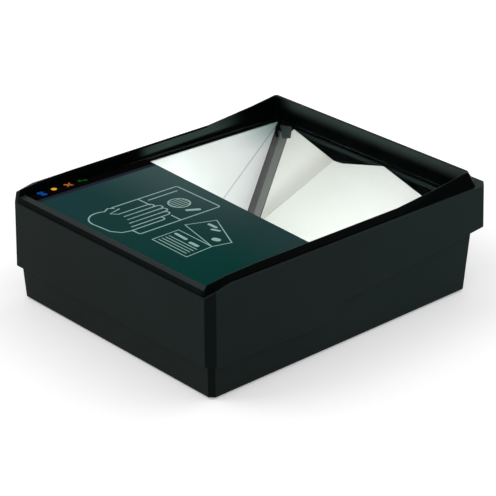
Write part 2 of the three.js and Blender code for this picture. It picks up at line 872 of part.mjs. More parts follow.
function frontReflector() {
  const gap = clearance + reflectorThickness;
  const y = [boxFrontY - gap, boxFrontY - clearance];
  const body = taper(
    { x: around(0, 2 * boxFootHalf), y, z: floorTopZ + clearance },
    { x: around(0, 2 * boxHeadHalf), y, z: boxHeadZ },
  );
  const slotZ = boardTopZ + ribbonLift;
  const slot = block(
    around(0, cameraRibbonWidth + 2 * overrun),
    reach(y, overrun),
    [slotZ - clearance - ribbonThickness, slotZ + clearance + 2 * ribbonThickness],
  );
  return cut(underDeck(body, boardThickness + 2 * clearance), slot);
}

// The rear panels share a group that leans with the wall: local Z runs up the slope
function rearGroup() {
  const group = new THREE.Group();
  group.position.set(0, boxRearY, boxFootZ);
  group.rotation.x = -rearLean;
  return group;
}

function slopePanel(points, y0, thickness) {
  const shape = new THREE.Shape(points.map(([x, z]) => new THREE.Vector2(x, z)));
  const geometry = new THREE.ExtrudeGeometry(shape, { depth: thickness, bevelEnabled: false });
  return geometry.rotateX(Math.PI / 2).translate(0, y0 + thickness, 0);
}

const onSlope = (shares) => shares.map(([x, z]) => [x * windowPlan.half, z * rearLength]);
const rearPanel = (shares) => slopePanel(onSlope(shares), 0, reflectorThickness);

const postShares = [
  [postFootShares[0], postFootShare],
  [postFootShares[1], postFootShare],
  [postHeadShares[1], postHeadShare],
  [postHeadShares[0], postHeadShare],
];

function rearBracket() {
  const y0 = reflectorThickness + clearance;
  const roomUp = seatUnderAt(boxHeadY) - 2 * clearance - boxFootZ;
  const headZ = acrossLean(roomUp) - bracketThickness;
  const gap = clearance + reflectorThickness;
  const points = [
    [-boxFootHalf, 0],
    [boxFootHalf, 0],
    [boxHeadHalf - gap, headZ],
    [gap - boxHeadHalf, headZ],
  ];
  return slopePanel(points, y0, bracketThickness);
}

function postHook() {
  const x = reach(postHeadShares.map((share) => share * windowPlan.half), -hookInset);
  const z0 = postHeadShare * rearLength;
  const y0 = -hookThickness / 2;
  const cap = block(x, [y0, reflectorThickness], [z0 + clearance, z0 + hookHeight / 2]);
  const front = block(x, [y0, -clearance], around(z0, hookHeight));
  return join(cap, front);
}

// Gussets of the base stand behind the rear bracket and carry it
function gusset(x) {
  const back = acrossLean(reflectorThickness + bracketThickness + 2 * clearance);
  const wallAt = (z) => boxRearY + back + (z - boxFootZ) * Math.tan(rearLean);
  const low = floorTopZ - baseFloor / 2;
  const y1 = wallAt(floorTopZ) + gussetDepth;
  const top = boxFootZ + (y1 - boxRearY - back) / Math.tan(rearLean);
  return sideProfile([[wallAt(low), low], [y1, low], [y1, top]], around(x, gussetWidth));
}

// Mirror on the floor, held by a rail along each side
const mirrorHalf = boxFootHalf - mirrorSideInset;
const mirrorY = reach([boxFrontY, boxRearY], -mirrorEndInset);
const mirrorTopZ = boxFloorZ + mirrorThickness;

function floorMirror() {
  return block(around(0, 2 * mirrorHalf), mirrorY, [boxFloorZ, mirrorTopZ]);
}

function mirrorRail(side) {
  const inner = mirrorHalf + clearance;
  const outer = inner + railWidth;
  const span = (a, b) => [side * a, side * b].sort((p, q) => p - q);
  const lipZ = mirrorTopZ + clearance;
  const foot = block(span(inner, outer), mirrorY, [boxFloorZ, lipZ + railThickness]);
  const lip = block(span(inner - railLip, outer), mirrorY, [lipZ, lipZ + railThickness]);
  return join(foot, lip);
}

// Light bar: a narrow board with its row of lights, on the front reflector
function lightBar(side) {
  const x = side * (boxFootHalf - lightBarInset);
  const low = boxFloorZ + lightBarHeight;
  const frontFace = boxFrontY + boardThickness;
  const plate = block(around(x, lightBarWidth), [boxFrontY, frontFace], [low, low + lightBarLength]);
  const pitch = lightBarLength / lightCount;
  const lightY = [frontFace - boardThickness / 2, frontFace + lightHeight];
  const lights = Array.from({ length: lightCount }, (_, k) =>
    block(around(x, lightSize), lightY, around(low + pitch * (k + 1 / 2), lightSize)));
  return join(plate, ...lights);
}

// The camera's parts share a group whose local Y is the line of sight
const tiltRadians = THREE.MathUtils.degToRad(cameraTilt);
const cameraY = boxFrontY + cameraDepth;
const cameraZ = bottomZ + cameraHeight;
const legBackY = -boardThickness - clearance - cameraPlate;
const legFaceY = -boardThickness - clearance;

function cameraGroup() {
  const group = new THREE.Group();
  group.position.set(0, cameraY, cameraZ);
  group.rotation.x = -tiltRadians;
  group.updateMatrixWorld(true);
  return group;
}

const cameraFrame = cameraGroup();
const screwOffset = cameraBoardSize / 2 - cameraScrewInset;
const cameraScrewPlaces = [[-screwOffset, screwOffset], [screwOffset, -screwOffset]];

function cameraScrewHoles() {
  const y = [legBackY - overrun, overrun];
  return cameraScrewPlaces.map(([x, z]) => thinBarrel(x, y, z, screwRadius + clearance));
}

function cameraBracket() {
  const low = -cameraBoardSize / 2;
  const tabTop = seatUnderAt(deckRearY) - clearance;
  const sine = Math.sin(tiltRadians);
  const cosine = Math.cos(tiltRadians);
  const place = (across, along) => [
    cameraY + across * cosine + along * sine,
    cameraZ - across * sine + along * cosine,
  ];
  const upTo = (across, z) => place(across, (z - cameraZ + across * sine) / cosine);
  const rearTop = upTo(legFaceY, tabTop);
  const profile = [
    place(legFaceY, low),
    rearTop,
    [rearTop[0] - cameraTab, tabTop],
    [rearTop[0] - cameraTab, tabTop - cameraPlate],
    upTo(legBackY, tabTop - cameraPlate),
    place(legBackY, low),
  ];
  const body = sideProfile(profile, around(0, cameraPlateWidth));
  return cut(body, ...cameraScrewHoles().map((hole) => hole.applyMatrix4(cameraFrame.matrixWorld)));
}

function cameraBoard() {
  const plate = block(around(0, cameraBoardSize), [-boardThickness, 0], around(0, cameraBoardSize));
  return cut(plate, ...cameraScrewHoles());
}

function cameraScrew([x, z]) {
  const head = thinBarrel(x, [clearance, clearance + screwHeadHeight], z, screwHeadRadius);
  const shank = thinBarrel(x, [legBackY, clearance + screwHeadHeight / 2], z, screwRadius);
  return join(head, shank);
}

const barrelTip = clearance + barrelLength;

function lensBarrel() {
  const tube = barrel(0, [clearance, barrelTip], 0, barrelRadius);
  return cut(tube, barrel(0, [barrelTip - barrelBoreDepth, barrelTip + overrun], 0, barrelBore));
}

// A disc with a low round crown
function frontLens() {
  const radius = barrelBore - clearance;
  const edge = barrelBoreDepth / 3;
  const steps = smallRoundSides / 2;
  const crown = Array.from({ length: steps }, (_, k) => {
    const angle = (k / steps) * (Math.PI / 2);
    return new THREE.Vector2(radius * Math.cos(angle), edge + edge * Math.sin(angle));
  });
  const profile = [new THREE.Vector2(0, 0), ...crown, new THREE.Vector2(0, 2 * edge)];
  const lens = new THREE.LatheGeometry(profile, roundSides);
  return lens.translate(0, barrelTip - barrelBoreDepth + clearance, 0);
}

function lensRing() {
  const y = [screwHeadHeight + 2 * clearance, screwHeadHeight + 2 * clearance + lockRingWidth];
  const ring = barrel(0, y, 0, lockRingRadius);
  return cut(ring, barrel(0, reach(y, overrun), 0, barrelRadius + clearance));
}

// Main board with its chips
function mainBoard() {
  const plate = block(mainBoardX, mainBoardY, [boardZ, boardZ + boardThickness]);
  const sunk = boardTopZ - boardThickness / 2;
  const cameraHeader = block(
    around(0, headerWidth),
    [mainBoardY[1] - headerDepth, mainBoardY[1]],
    [sunk, boardTopZ + headerHeight],
  );
  const sideHeader = block(
    [mainBoardX[0], mainBoardX[0] + headerDepth],
    around(frontY + boardFront + ribbonPlace, headerWidth / 2),
    [sunk, boardTopZ + headerHeight + ribbonHeight / 2],
  );
  const holes = screwHoles(mainBoardScrews, [boardZ - overrun, boardTopZ + overrun]);
  return cut(join(plate, cameraHeader, sideHeader), ...holes);
}

const boardTopZ = boardZ + boardThickness;
const processorX = -processorShare * boardHalf;
const processorY = mainBoardY[0] + boardDepth / 2 - processorShift;
const overProcessor = (size) => [around(processorX, size), around(processorY, size)];

function processor() {
  return block(...overProcessor(processorSize), [boardTopZ, boardTopZ + processorHeight]);
}

function heatSink() {
  const z0 = boardTopZ + processorHeight;
  const plate = block(...overProcessor(sinkSize), [z0, z0 + sinkBase]);
  const pitch = (sinkSize - finThickness) / (finCount - 1);
  const fins = Array.from({ length: finCount }, (_, k) =>
    block(
      around(processorX - sinkSize / 2 + finThickness / 2 + k * pitch, finThickness),
      around(processorY, sinkSize),
      [z0 + sinkBase / 2, z0 + sinkHeight],
    ));
  return join(plate, ...fins);
}

function buzzer() {
  const y = mainBoardY[0] + buzzerRadius * 2;
  const x = buzzerShare * boardHalf;
  const top = boardTopZ + buzzerHeight;
  const can = post(x, y, [boardTopZ, top], buzzerRadius);
  return cut(can, thinPost(x, y, [top - buzzerHeight / 2, top + overrun], buzzerHole));
}

// A flat ribbon that climbs from the main board through the front reflector to the camera
function cameraRibbon() {
  const z0 = boardTopZ + ribbonLift;
  const fall = cameraBoardSize / 2 + clearance + ribbonThickness;
  const endY = cameraY - fall * Math.sin(tiltRadians);
  const endZ = cameraZ - fall * Math.cos(tiltRadians) - ribbonThickness;
  const line = [
    [mainBoardY[1] + clearance, z0],
    [boxFrontY + ribbonLift, z0],
    [endY, endZ],
  ];
  const back = line.map(([y, z]) => [y, z + ribbonThickness]).reverse();
  return sideProfile([...line, ...back], around(0, cameraRibbonWidth));
}

// A flat ribbon on its edge, round the light box from the main board to the rear board
function rearRibbon() {
  const wallX = ribbonWallGap - baseInnerPlan.half;
  const innerX = wallX + ribbonThickness;
  const y0 = frontY + boardFront + ribbonPlace;
  const y1 = rearBoardMiddleY;
  const x0 = mainBoardX[0] - clearance;
  const x1 = rearHeaderX - clearance;
  const plan = [
    [x0, y0],
    [wallX, y0],
    [wallX, y1],
    [x1, y1],
    [x1, y1 - ribbonThickness],
    [innerX, y1 - ribbonThickness],
    [innerX, y0 + ribbonThickness],
    [x0, y0 + ribbonThickness],
  ];
  const shape = new THREE.Shape(plan.map(([x, y]) => new THREE.Vector2(x, y)));
  const geometry = new THREE.ExtrudeGeometry(shape, { depth: ribbonHeight, bevelEnabled: false });
  return geometry.translate(0, 0, boardTopZ + screwHeadHeight + clearance);
}

// Rear board, sockets, lock plate and button
function rearBoard() {
  const plate = block(rearBoardX, rearBoardY, [rearBoardZ, portZ]);
  const header = block(
    [rearHeaderX, rearHeaderX + headerDepth / 2],
    reach(rearBoardY, -ribbonLift),
    [portZ - boardThickness / 2, portZ + headerHeight + ribbonHeight / 2],
  );
  const holes = screwHoles(rearBoardScrews, reach([rearBoardZ, portZ], overrun));
  return cut(join(plate, header), ...holes);
}

const socketY = [portFaceY - portDepth, portFaceY];

function usbSocket() {
  const body = block(around(usbX, usbWidth), socketY, [portZ, portZ + usbHeight]);
  const cavity = block(
    around(usbX, usbWidth - 2 * usbShell),
    [portFaceY - portCavity, portFaceY + overrun],
    [portZ + usbShell, portZ + usbHeight - usbShell],
  );
  const tongue = block(
    around(usbX, usbTongueWidth),
    [portFaceY - portCavity - clearance, portFaceY - usbShell],
    around(portMiddleZ, usbTongueHeight),
  );
  return join(cut(body, cavity), tongue);
}

function powerSocket() {
  const body = block(around(powerX, powerWidth), socketY, [portZ, portZ + powerHeight]);
  const z = portZ + powerHeight / 2;
  const bore = barrel(powerX, [portFaceY - portCavity, portFaceY + overrun], z, powerBore);
  const pinY = [portFaceY - portCavity - clearance, portFaceY - usbShell];
  const pin = thinBarrel(powerX, pinY, z, powerPin);
  return join(cut(body, bore), pin);
}

function lockPlate() {
  const y1 = basePlan.rear - baseWall - clearance;
  const y = [y1 - lockPlateThickness, y1];
  const low = portZ + clearance;
  const plate = block(around(lockX, lockPlateWidth), y, [low, low + lockPlateHeight]);
  const slot = block(around(lockX, lockWidth), reach(y, overrun), around(portMiddleZ, lockHeight));
  return cut(plate, slot);
}

// The rear wall leans out as it rises, so what meets it inside goes by its height
const wallLean = (baseInnerTopPlan.rear - baseInnerPlan.rear) / (partingAt(shellDepth) - floorTopZ);
const wallInnerAt = (z) => baseInnerPlan.rear + wallLean * (z - floorTopZ);
const flangeFaceY = wallInnerAt(portMiddleZ - buttonRadius - buttonFlange) - clearance;
const stemEndY = flangeFaceY - buttonFlangeThickness - buttonStem;

function powerButton() {
  const outer = basePlan.rear + baseRearFlare / 2 + buttonProud;
  const flangeBackY = flangeFaceY - buttonFlangeThickness;
  const cap = barrel(buttonX, [flangeFaceY, outer], portMiddleZ, buttonRadius);
  const rim = buttonRadius + buttonFlange;
  const flange = barrel(buttonX, [flangeBackY, flangeFaceY], portMiddleZ, rim);
  const stem = thinBarrel(buttonX, [stemEndY, flangeBackY], portMiddleZ, buttonStem);
  return join(cap, flange, stem);
}

function powerSwitch() {
  const y1 = stemEndY - buttonTravel - clearance;
  return block(
    around(buttonX, switchSize),
    [y1 - switchDepth, y1],
    [portZ, portMiddleZ + switchSize / 2],
  );
}

// Case
add('base_tray', baseTray(), blackCase());
add('top_cover', topCover(), blackCase());
add('bezel_frame', bezelFrame(), blackBezel());

// Window
add('glass_gasket', glassGasket(), rubber());
add('window_glass', windowGlass(), finish(0x9fb5b0, 0.05));
add('indicator_band', filmBody(-filmPlan.half, bandRightX - clearance), finish(0x0b0b0b, 0.2));
add('label_panel', filmBody(bandRightX, filmPlan.half), finish(0x1d3c3c, 0.45));

// Indicator lights
guidePlaces.forEach(([x, y], k) => {
  const low = indicatorBoardZ() + boardThickness + indicatorLightHeight + clearance;
  const guide = post(x, y, [low, seatAt(y)], guideRadius, smallRoundSides);
  add(`light_guide_${k + 1}`, guide, finish(0xdfe6e6, 0.1));
});
add('indicator_board', indicatorBoard(), board());
add('antenna_board', antennaBoard(), board());

// Light box
add('left_reflector', sideReflector(-1), whiteSheet());
add('right_reflector', sideReflector(1), whiteSheet());
add('floor_reflector', floorReflector(), whiteSheet());
add('front_reflector', frontReflector(), whiteSheet());
const leaningGroup = rearGroup();
reader.add(leaningGroup);
add('rear_bracket', rearBracket(), blackPlastic(), leaningGroup);
add('corner_post', rearPanel(postShares), finish(0x5a5560, 0.5), leaningGroup);
add('post_hook', postHook(), blackPlastic(), leaningGroup);
add('cream_reflector', rearPanel(creamOutlineShares), finish(0xc8cdc3, 0.6), leaningGroup);
add('white_reflector', rearPanel(whiteOutlineShares), whiteSheet(), leaningGroup);
add('floor_mirror', floorMirror(), finish(0xe4e8e6, 0.03, 1));
add('left_mirror_rail', mirrorRail(-1), blackPlastic());
add('right_mirror_rail', mirrorRail(1), blackPlastic());
add('left_light_bar', lightBar(-1), finish(0xf2e9b8, 0.4));
add('right_light_bar', lightBar(1), finish(0xf2e9b8, 0.4));

// Camera
add('camera_bracket', cameraBracket(), darkSteel());
reader.add(cameraFrame);
add('camera_board', cameraBoard(), board(), cameraFrame);
cameraScrewPlaces.forEach((place, k) => {
  add(`camera_screw_${k + 1}`, cameraScrew(place), steel(), cameraFrame);
});
add('lens_barrel', lensBarrel(), finish(0x101010, 0.35, 0.6), cameraFrame);
add('lens_ring', lensRing(), finish(0x3a3a3c, 0.4, 0.8), cameraFrame);
add('front_lens', frontLens(), finish(0x1b2430, 0.03), cameraFrame);

// Electronics in the base
add('main_board', mainBoard(), board());
add('processor', processor(), blackPlastic());
add('heat_sink', heatSink(), finish(0x8c9094, 0.45, 0.9));
add('buzzer', buzzer(), blackPlastic());
mainBoardScrews.forEach(([x, y], k) => {
  add(`board_screw_${k + 1}`, screwDown(x, y, boardTopZ, screwLength), steel());
});
add('camera_ribbon', cameraRibbon(), finish(0xc9ccd0, 0.5));
add('rear_ribbon', rearRibbon(), finish(0xc9ccd0, 0.5));
add('rear_board', rearBoard(), board());
rearBoardScrews.forEach(([x, y], k) => {
  add(`rear_screw_${k + 1}`, screwDown(x, y, portZ, screwLength), steel());
});
add('usb_socket', usbSocket(), steel());
add('power_socket', powerSocket(), blackPlastic());
add('power_switch', powerSwitch(), blackPlastic());
add('power_button', powerButton(), finish(0x2a2d2f, 0.45));
add('lock_plate', lockPlate(), darkSteel());

// Underside
postPlaces.forEach(([x, y], k) => {
  const length = caseScrewLength - screwHeadHeight - clearance;
  add(`case_screw_${k + 1}`, screwUp(x, y, bottomZ + clearance, length), darkSteel());
});
footPlaces.forEach(([x, y], k) => {
  add(`foot_${k + 1}`, post(x, y, [0, bottomZ + footRecess], footRadius), rubber());
});

export default reader;
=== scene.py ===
# %% [markdown]
# # A desktop passport reader
# The reader is a low black box. An open passport is laid face down on the glass in its top, and a
# camera inside takes the picture. A raised rim guides the passport, a printed panel covers the front
# of the glass, and four small lights at the left edge show the state of the reading.
#
# The construction comes as a fixed frame: every casing, board and screw is already there at its real
# size. This lesson gives each of them its finish, and models again the few pieces whose moulded
# edges or small details the frame leaves plain.

# %% Load the frame
import json
import math

import bmesh
import bpy
from mathutils import Euler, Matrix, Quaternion, Vector

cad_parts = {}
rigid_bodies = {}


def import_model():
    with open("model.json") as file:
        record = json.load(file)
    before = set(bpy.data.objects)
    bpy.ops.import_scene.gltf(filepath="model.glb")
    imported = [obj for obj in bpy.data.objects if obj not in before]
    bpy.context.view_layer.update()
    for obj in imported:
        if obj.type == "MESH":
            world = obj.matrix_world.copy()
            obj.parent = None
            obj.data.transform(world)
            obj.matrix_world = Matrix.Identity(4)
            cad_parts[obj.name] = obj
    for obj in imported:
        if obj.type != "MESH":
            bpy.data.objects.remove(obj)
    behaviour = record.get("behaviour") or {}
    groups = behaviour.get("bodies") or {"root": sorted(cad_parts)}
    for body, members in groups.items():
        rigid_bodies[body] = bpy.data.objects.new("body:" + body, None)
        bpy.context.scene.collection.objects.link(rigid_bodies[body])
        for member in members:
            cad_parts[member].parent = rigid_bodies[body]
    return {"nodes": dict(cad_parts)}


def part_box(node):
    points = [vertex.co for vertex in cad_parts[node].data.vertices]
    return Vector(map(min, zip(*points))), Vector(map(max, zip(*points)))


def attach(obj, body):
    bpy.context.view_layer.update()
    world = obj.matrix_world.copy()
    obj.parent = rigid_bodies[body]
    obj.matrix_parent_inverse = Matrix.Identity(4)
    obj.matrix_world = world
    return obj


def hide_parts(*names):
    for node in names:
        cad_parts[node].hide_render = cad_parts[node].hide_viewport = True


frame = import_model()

MM = 0.001
ACROSS, BACK, UP = Vector((1, 0, 0)), Vector((0, 1, 0)), Vector((0, 0, 1))
nodes = frame["nodes"]
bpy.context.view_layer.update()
print("pieces in the frame:", len(nodes))

# %% [markdown]
# ## Camera
# The photograph was taken from above the front right corner with a long lens, so the box shows
# hardly any perspective. The camera is turned by its direction round the object, its height above
# the horizon and a slight roll. It then backs away from the point that it aims at.

# %% The camera at the photograph's angle
camera_azimuth = math.radians(48.24)
camera_elevation = math.radians(25.51)
camera_roll = math.radians(-0.22)
camera_distance = 1088.76 * MM
camera_aim = Vector((0, 0, 30.8 * MM))
camera_shift = Vector((-1.42 * MM, -5.69 * MM, 0))
camera_lens = 155.2

turn = Euler((math.pi / 2 - camera_elevation, 0, camera_azimuth)).to_quaternion()
place = camera_aim + turn @ (camera_shift + Vector((0, 0, camera_distance)))
bpy.ops.object.camera_add(location=place)
camera = bpy.context.object
camera.name = "photo_camera"
camera.data.lens = camera_lens
camera.rotation_mode = "QUATERNION"
camera.rotation_quaternion = turn @ Quaternion((0, 0, 1), camera_roll)
bpy.context.scene.camera = camera
print("camera stands at", [round(x, 4) for x in camera.location])

# %% [markdown]
# ## Studio
# A product shot like this one is taken on a white sweep between large soft lamps. The world gives the
# even light of a white room, two broad lamps give the faces their slow change of tone, and the floor
# keeps a soft shadow under the box. Camera, mirror and glass rays see the room plain white, while the
# light that falls on the object stays at a level at which a colour looks as it is written.

# %% Small helpers that put nodes into the tree opened last
opened = []


def give(node, inputs):
    """Sets a node's inputs, and links those whose value is a socket; colours have three parts."""
    for name, value in inputs.items():
        socket = node.inputs[name]
        if isinstance(value, bpy.types.NodeSocket):
            node.id_data.links.new(value, socket)
        else:
            socket.default_value = (*value, 1) if socket.type == "RGBA" else value


def put(kind, inputs=None, **settings):
    """Adds a shader node: settings are its options."""
    made = opened[-1].nodes.new(kind)
    for name, value in settings.items():
        setattr(made, name, value)
    give(made, inputs or {})
    return made


def calc(operation, *values, clamp=False):
    """One sum on numbers or sockets; returns the result's socket."""
    made = put("ShaderNodeMath", dict(enumerate(values)), operation=operation, use_clamp=clamp)
    return made.outputs[0]


def calc_vectors(operation, first, second):
    """One sum on two vectors or colours; a DOT_PRODUCT gives a number."""
    made = put("ShaderNodeVectorMath", {0: first, 1: second}, operation=operation)
    return made.outputs["Value" if operation == "DOT_PRODUCT" else "Vector"]


def parts_of(vector):
    """A vector's X, Y and Z."""
    return put("ShaderNodeSeparateXYZ", {0: vector}).outputs


def blend(share, first, second):
    """The first colour where share is 0 and the second where it is 1."""
    return put("ShaderNodeMix", {0: share, 6: first, 7: second}, data_type="RGBA").outputs[2]


BLACK, WHITE = (0, 0, 0), (1, 1, 1)
print("node helpers are ready")

# %% Helpers for patterns and masks on a surface
def object_place():
    """The socket with the surface's place on the object, in metres."""
    return put("ShaderNodeTexCoord").outputs["Object"]


def noise(scale, detail=2, where=None):
    """Cloudy noise from 0 to 1 that stays with the object; a larger scale is finer."""
    inputs = {"Vector": where or object_place(), "Scale": scale, "Detail": detail}
    return put("ShaderNodeTexNoise", inputs).outputs["Fac"]


def relief(height, depth):
    """The normal of a fine relief, depth metres deep."""
    return put("ShaderNodeBump", {"Height": height, "Distance": depth}).outputs["Normal"]


def eased(value, low=0, high=1, at_low=0, at_high=1, way="SMOOTHSTEP"):
    """A soft step from at_low to at_high while value goes from low to high."""
    inputs = {"Value": value, "From Min": low, "From Max": high, "To Min": at_low, "To Max": at_high}
    return put("ShaderNodeMapRange", inputs, interpolation_type=way).outputs[0]


def along(first, second):
    """0 at the first point, 1 at the second, on straight planes between them, in metres."""
    span = Vector(second) - Vector(first)
    from_first = calc_vectors("SUBTRACT", object_place(), tuple(first))
    return calc_vectors("DOT_PRODUCT", from_first, tuple(span / span.length_squared))


def on_axis(axis, low, high, *ends):
    """A soft step while the place on an axis goes from low to high, in mm."""
    return eased(along((0, 0, 0), axis), low * MM, high * MM, *ends)


print("pattern helpers are ready")

# %% Helpers that start a finish and fill it in
finishes = {}


def start_finish(name):
    """Makes a material, opens its tree and returns its surface shader."""
    made = bpy.data.materials.new(name)
    made.use_nodes = True
    finishes[name] = made
    opened.append(made.node_tree)
    print("finish:", name)
    return made.node_tree.nodes["Principled BSDF"]


def apply_skin(shader, skin, others):
    """Gives the surface a skin's colour, roughness and normal, apart from what others names."""
    own = {"Base Color": skin["Color"], "Roughness": skin["Roughness"], "Normal": skin["Normal"]}
    give(shader, {**own, **others})


def seen_directly():
    """1 for camera, mirror and glass rays, 0 for the light that falls on things."""
    rays = put("ShaderNodeLightPath").outputs
    mirrored = calc("MAXIMUM", rays["Is Camera Ray"], rays["Is Glossy Ray"])
    return calc("MAXIMUM", mirrored, rays["Is Transmission Ray"])


print("finish helpers are ready")

# %% The world
room_light = 0.62
room_white = 1.0

world = bpy.data.worlds.new("white_room")
bpy.context.scene.world = world
world.use_nodes = True
opened.append(world.node_tree)
strength = calc("MULTIPLY_ADD", seen_directly(), room_white - room_light, room_light)
give(world.node_tree.nodes["Background"], {"Color": WHITE, "Strength": strength})
print("room light", room_light, "seen as", room_white)

# %% The floor
floor_size = 12
floor_white, fibre_white = 0.93, 0.96
floor_glow = 0.3

bpy.ops.object.select_all(action="DESELECT")
bpy.ops.mesh.primitive_plane_add(size=floor_size, location=(0, 0, 0))
floor = bpy.context.object
floor.name = "studio_floor"
shader = start_finish("white_sweep")
paper = [(level, level, level) for level in (floor_white, fibre_white)]
give(shader, {
    "Base Color": blend(noise(90, 4), *paper), "Roughness": 0.9,
    "Specular IOR Level": 0.1, "Emission Color": WHITE,
    "Emission Strength": calc("MULTIPLY", seen_directly(), floor_glow),
})
floor.data.materials.append(finishes["white_sweep"])
print("floor is", floor_size, "metres wide")

# %% The lamps
def softbox(name, place, size, power):
    """A square lamp that points at the object."""
    bpy.ops.object.light_add(type="AREA", location=place)
    lamp = bpy.context.object
    lamp.name = name
    lamp.data.size = size
    lamp.data.energy = power
    lamp.rotation_mode = "QUATERNION"
    lamp.rotation_quaternion = Vector(place).to_track_quat("Z", "Y")


softbox("key_softbox", (-0.9, -1.1, 1.5), 1.1, 9)
softbox("back_softbox", (0.7, 1.2, 1.6), 1.2, 6)

bpy.context.scene.view_settings.view_transform = "Standard"

# %% [markdown]
# ### Inside the reader
# The reader's own light bars make its white box bright. One flat lamp in front of them, which no ray
# from the camera or a mirror sees, throws that light on the rear panels.

# %% The reader's own light
inner_power = 0.068
inner_place = (0, -14 * MM, 38 * MM)
inner_width, inner_height = 110 * MM, 24 * MM

bpy.ops.object.light_add(type="AREA", location=inner_place, rotation=(math.pi / 2, 0, 0))
inner_lamp = bpy.context.object
inner_lamp.name = "inner_lamp"
inner_lamp.data.shape = "RECTANGLE"
inner_lamp.data.size = inner_width
inner_lamp.data.size_y = inner_height
inner_lamp.data.energy = inner_power
inner_lamp.visible_camera = False
inner_lamp.visible_glossy = False
print("inner lamp:", inner_power, "watts")

# %% [markdown]
# ## Surface effects
# Nearly every piece is moulded plastic, sheet or metal, and they all show the same few effects: a fine
# moulded grain, edges rubbed a little lighter, dust on what faces up, and hairline scratches on what
# is glossy. Each effect is a node group with a few settings, so every finish can use it in its own
# measure. All of them read the place on the object itself, so nothing slides when a piece moves.

# %% A helper that makes a node group
socket_kinds = {"Color": "NodeSocketColor", "Normal": "NodeSocketVector"}


def new_group(name, inputs, outputs=("Mask",)):
    """Opens a shader group with its inputs' values; returns it, its inputs and its output node."""
    tree = bpy.data.node_groups.new(name, "ShaderNodeTree")
    opened.append(tree)
    print("group:", name)
    for label, in_out in [(key, "INPUT") for key in inputs] + [(key, "OUTPUT") for key in outputs]:
        kind = socket_kinds.get(label, "NodeSocketFloat")
        socket = tree.interface.new_socket(label, in_out=in_out, socket_type=kind)
        if in_out == "INPUT":
            socket.default_value = inputs[label]
    return tree, tree.nodes.new("NodeGroupInput").outputs, tree.nodes.new("NodeGroupOutput")


print("groups can be made")

# %% Moulded grain
grain, given, result = new_group("moulded_grain", {
    "Color": (0.5, 0.5, 0.5, 1), "Mottle": 0.15, "Roughness": 0.5,
    "Grain Size": 0.4 * MM, "Grain Depth": 0.01 * MM,
}, ("Color", "Roughness", "Normal"))
per_metre = calc("DIVIDE", 1, given["Grain Size"])
clouds = noise(22, 5)
patches = noise(160, 3)
both = calc("ADD", clouds, calc("MULTIPLY", patches, 0.4))
swing = calc("MULTIPLY", calc("SUBTRACT", both, 0.7), given["Mottle"])
lift = put("ShaderNodeHueSaturation", {
    "Color": given["Color"], "Value": calc("MULTIPLY_ADD", swing, 2, 1),
})
rough_swing = calc("MULTIPLY", calc("SUBTRACT", patches, 0.5), 0.16)
give(result, {
    "Color": lift.outputs["Color"],
    "Roughness": calc("ADD", given["Roughness"], rough_swing, clamp=True),
    "Normal": relief(noise(per_metre, 3), given["Grain Depth"]),
})

# %% Rubbed edges
rubbed, given, result = new_group("rubbed_edges", {"Radius": 0.7 * MM, "Amount": 0.5})
rounded = put("ShaderNodeBevel", {"Radius": given["Radius"]}, samples=4).outputs[0]
flat = put("ShaderNodeNewGeometry").outputs["Normal"]
turned = calc("SUBTRACT", 1, calc_vectors("DOT_PRODUCT", rounded, flat))
bend = calc("MULTIPLY", turned, 9, clamp=True)
broken = eased(noise(260, 4), 0.42, 0.66, 0.25, 1, "LINEAR")
worn = calc("MULTIPLY", bend, broken)
give(result, {"Mask": calc("MULTIPLY", worn, given["Amount"], clamp=True)})

# %% Settled dust
dust, given, result = new_group("settled_dust", {"Amount": 0.1})
upward = parts_of(put("ShaderNodeNewGeometry").outputs["Normal"])["Z"]
flatness = calc("POWER", calc("MAXIMUM", upward, 0), 3)
specks = put("ShaderNodeTexVoronoi", {"Vector": object_place(), "Scale": 900})
speck = eased(specks.outputs["Distance"], 0.05, 0.2, 1, 0, "LINEAR")
film = calc("MULTIPLY_ADD", speck, 0.5, noise(34, 6))
lying = calc("MULTIPLY", film, flatness)
give(result, {"Mask": calc("MULTIPLY", lying, given["Amount"], clamp=True)})

# %% Hairline scratches
hairlines, given, result = new_group("hairlines", {"Amount": 0.1})
marks = []
for angle, stretch in ((0.4, 12), (-0.9, 16), (1.3, 9)):
    slanted = put("ShaderNodeMapping", {
        "Vector": object_place(), "Rotation": (0, 0, angle), "Scale": (1, stretch, 1),
    }).outputs[0]
    strokes = calc("SUBTRACT", noise(70, 2, slanted), 0.5)
    marks.append(eased(calc("ABSOLUTE", strokes), 0, 0.006, 1, 0, "LINEAR"))
together = calc("MAXIMUM", calc("MAXIMUM", *marks[:2]), marks[2])
give(result, {"Mask": calc("MULTIPLY", together, given["Amount"])})

# %% [markdown]
# ## Finishes
# One function makes every moulded plastic: a colour, a roughness, the size and depth of the grain that
# the mould left, and how much dust and wear it shows. The black plastics of the real case are a very
# dark green grey, close to black, with a low sheen.

# %% Ways to use the effects
dust_colour = (0.32, 0.33, 0.31)


def use_group(group, **inputs):
    """Places an effect; its inputs are named in lower case with underscores."""
    titled = {key.replace("_", " ").title(): value for key, value in inputs.items()}
    return put("ShaderNodeGroup", titled, node_tree=group).outputs


def grained(tone, mottle, roughness, grain_mm=0.4, depth_mm=0.01):
    """The moulded grain over a tone: a skin's colour, roughness and normal."""
    return use_group(
        grain, color=tone, mottle=mottle, roughness=roughness,
        grain_size=grain_mm * MM, grain_depth=depth_mm * MM,
    )


def mask_of(group, amount, **inputs):
    """The share that wear, dust or scratches take of the surface."""
    return use_group(group, amount=amount, **inputs)["Mask"]


def dusted(tone, share):
    """The tone with a share of dust on it."""
    return blend(share, tone, dust_colour)


def tone_of(shader):
    """The socket that gives the surface its colour."""
    return shader.inputs["Base Color"].links[0].from_socket


print("effects can be used")

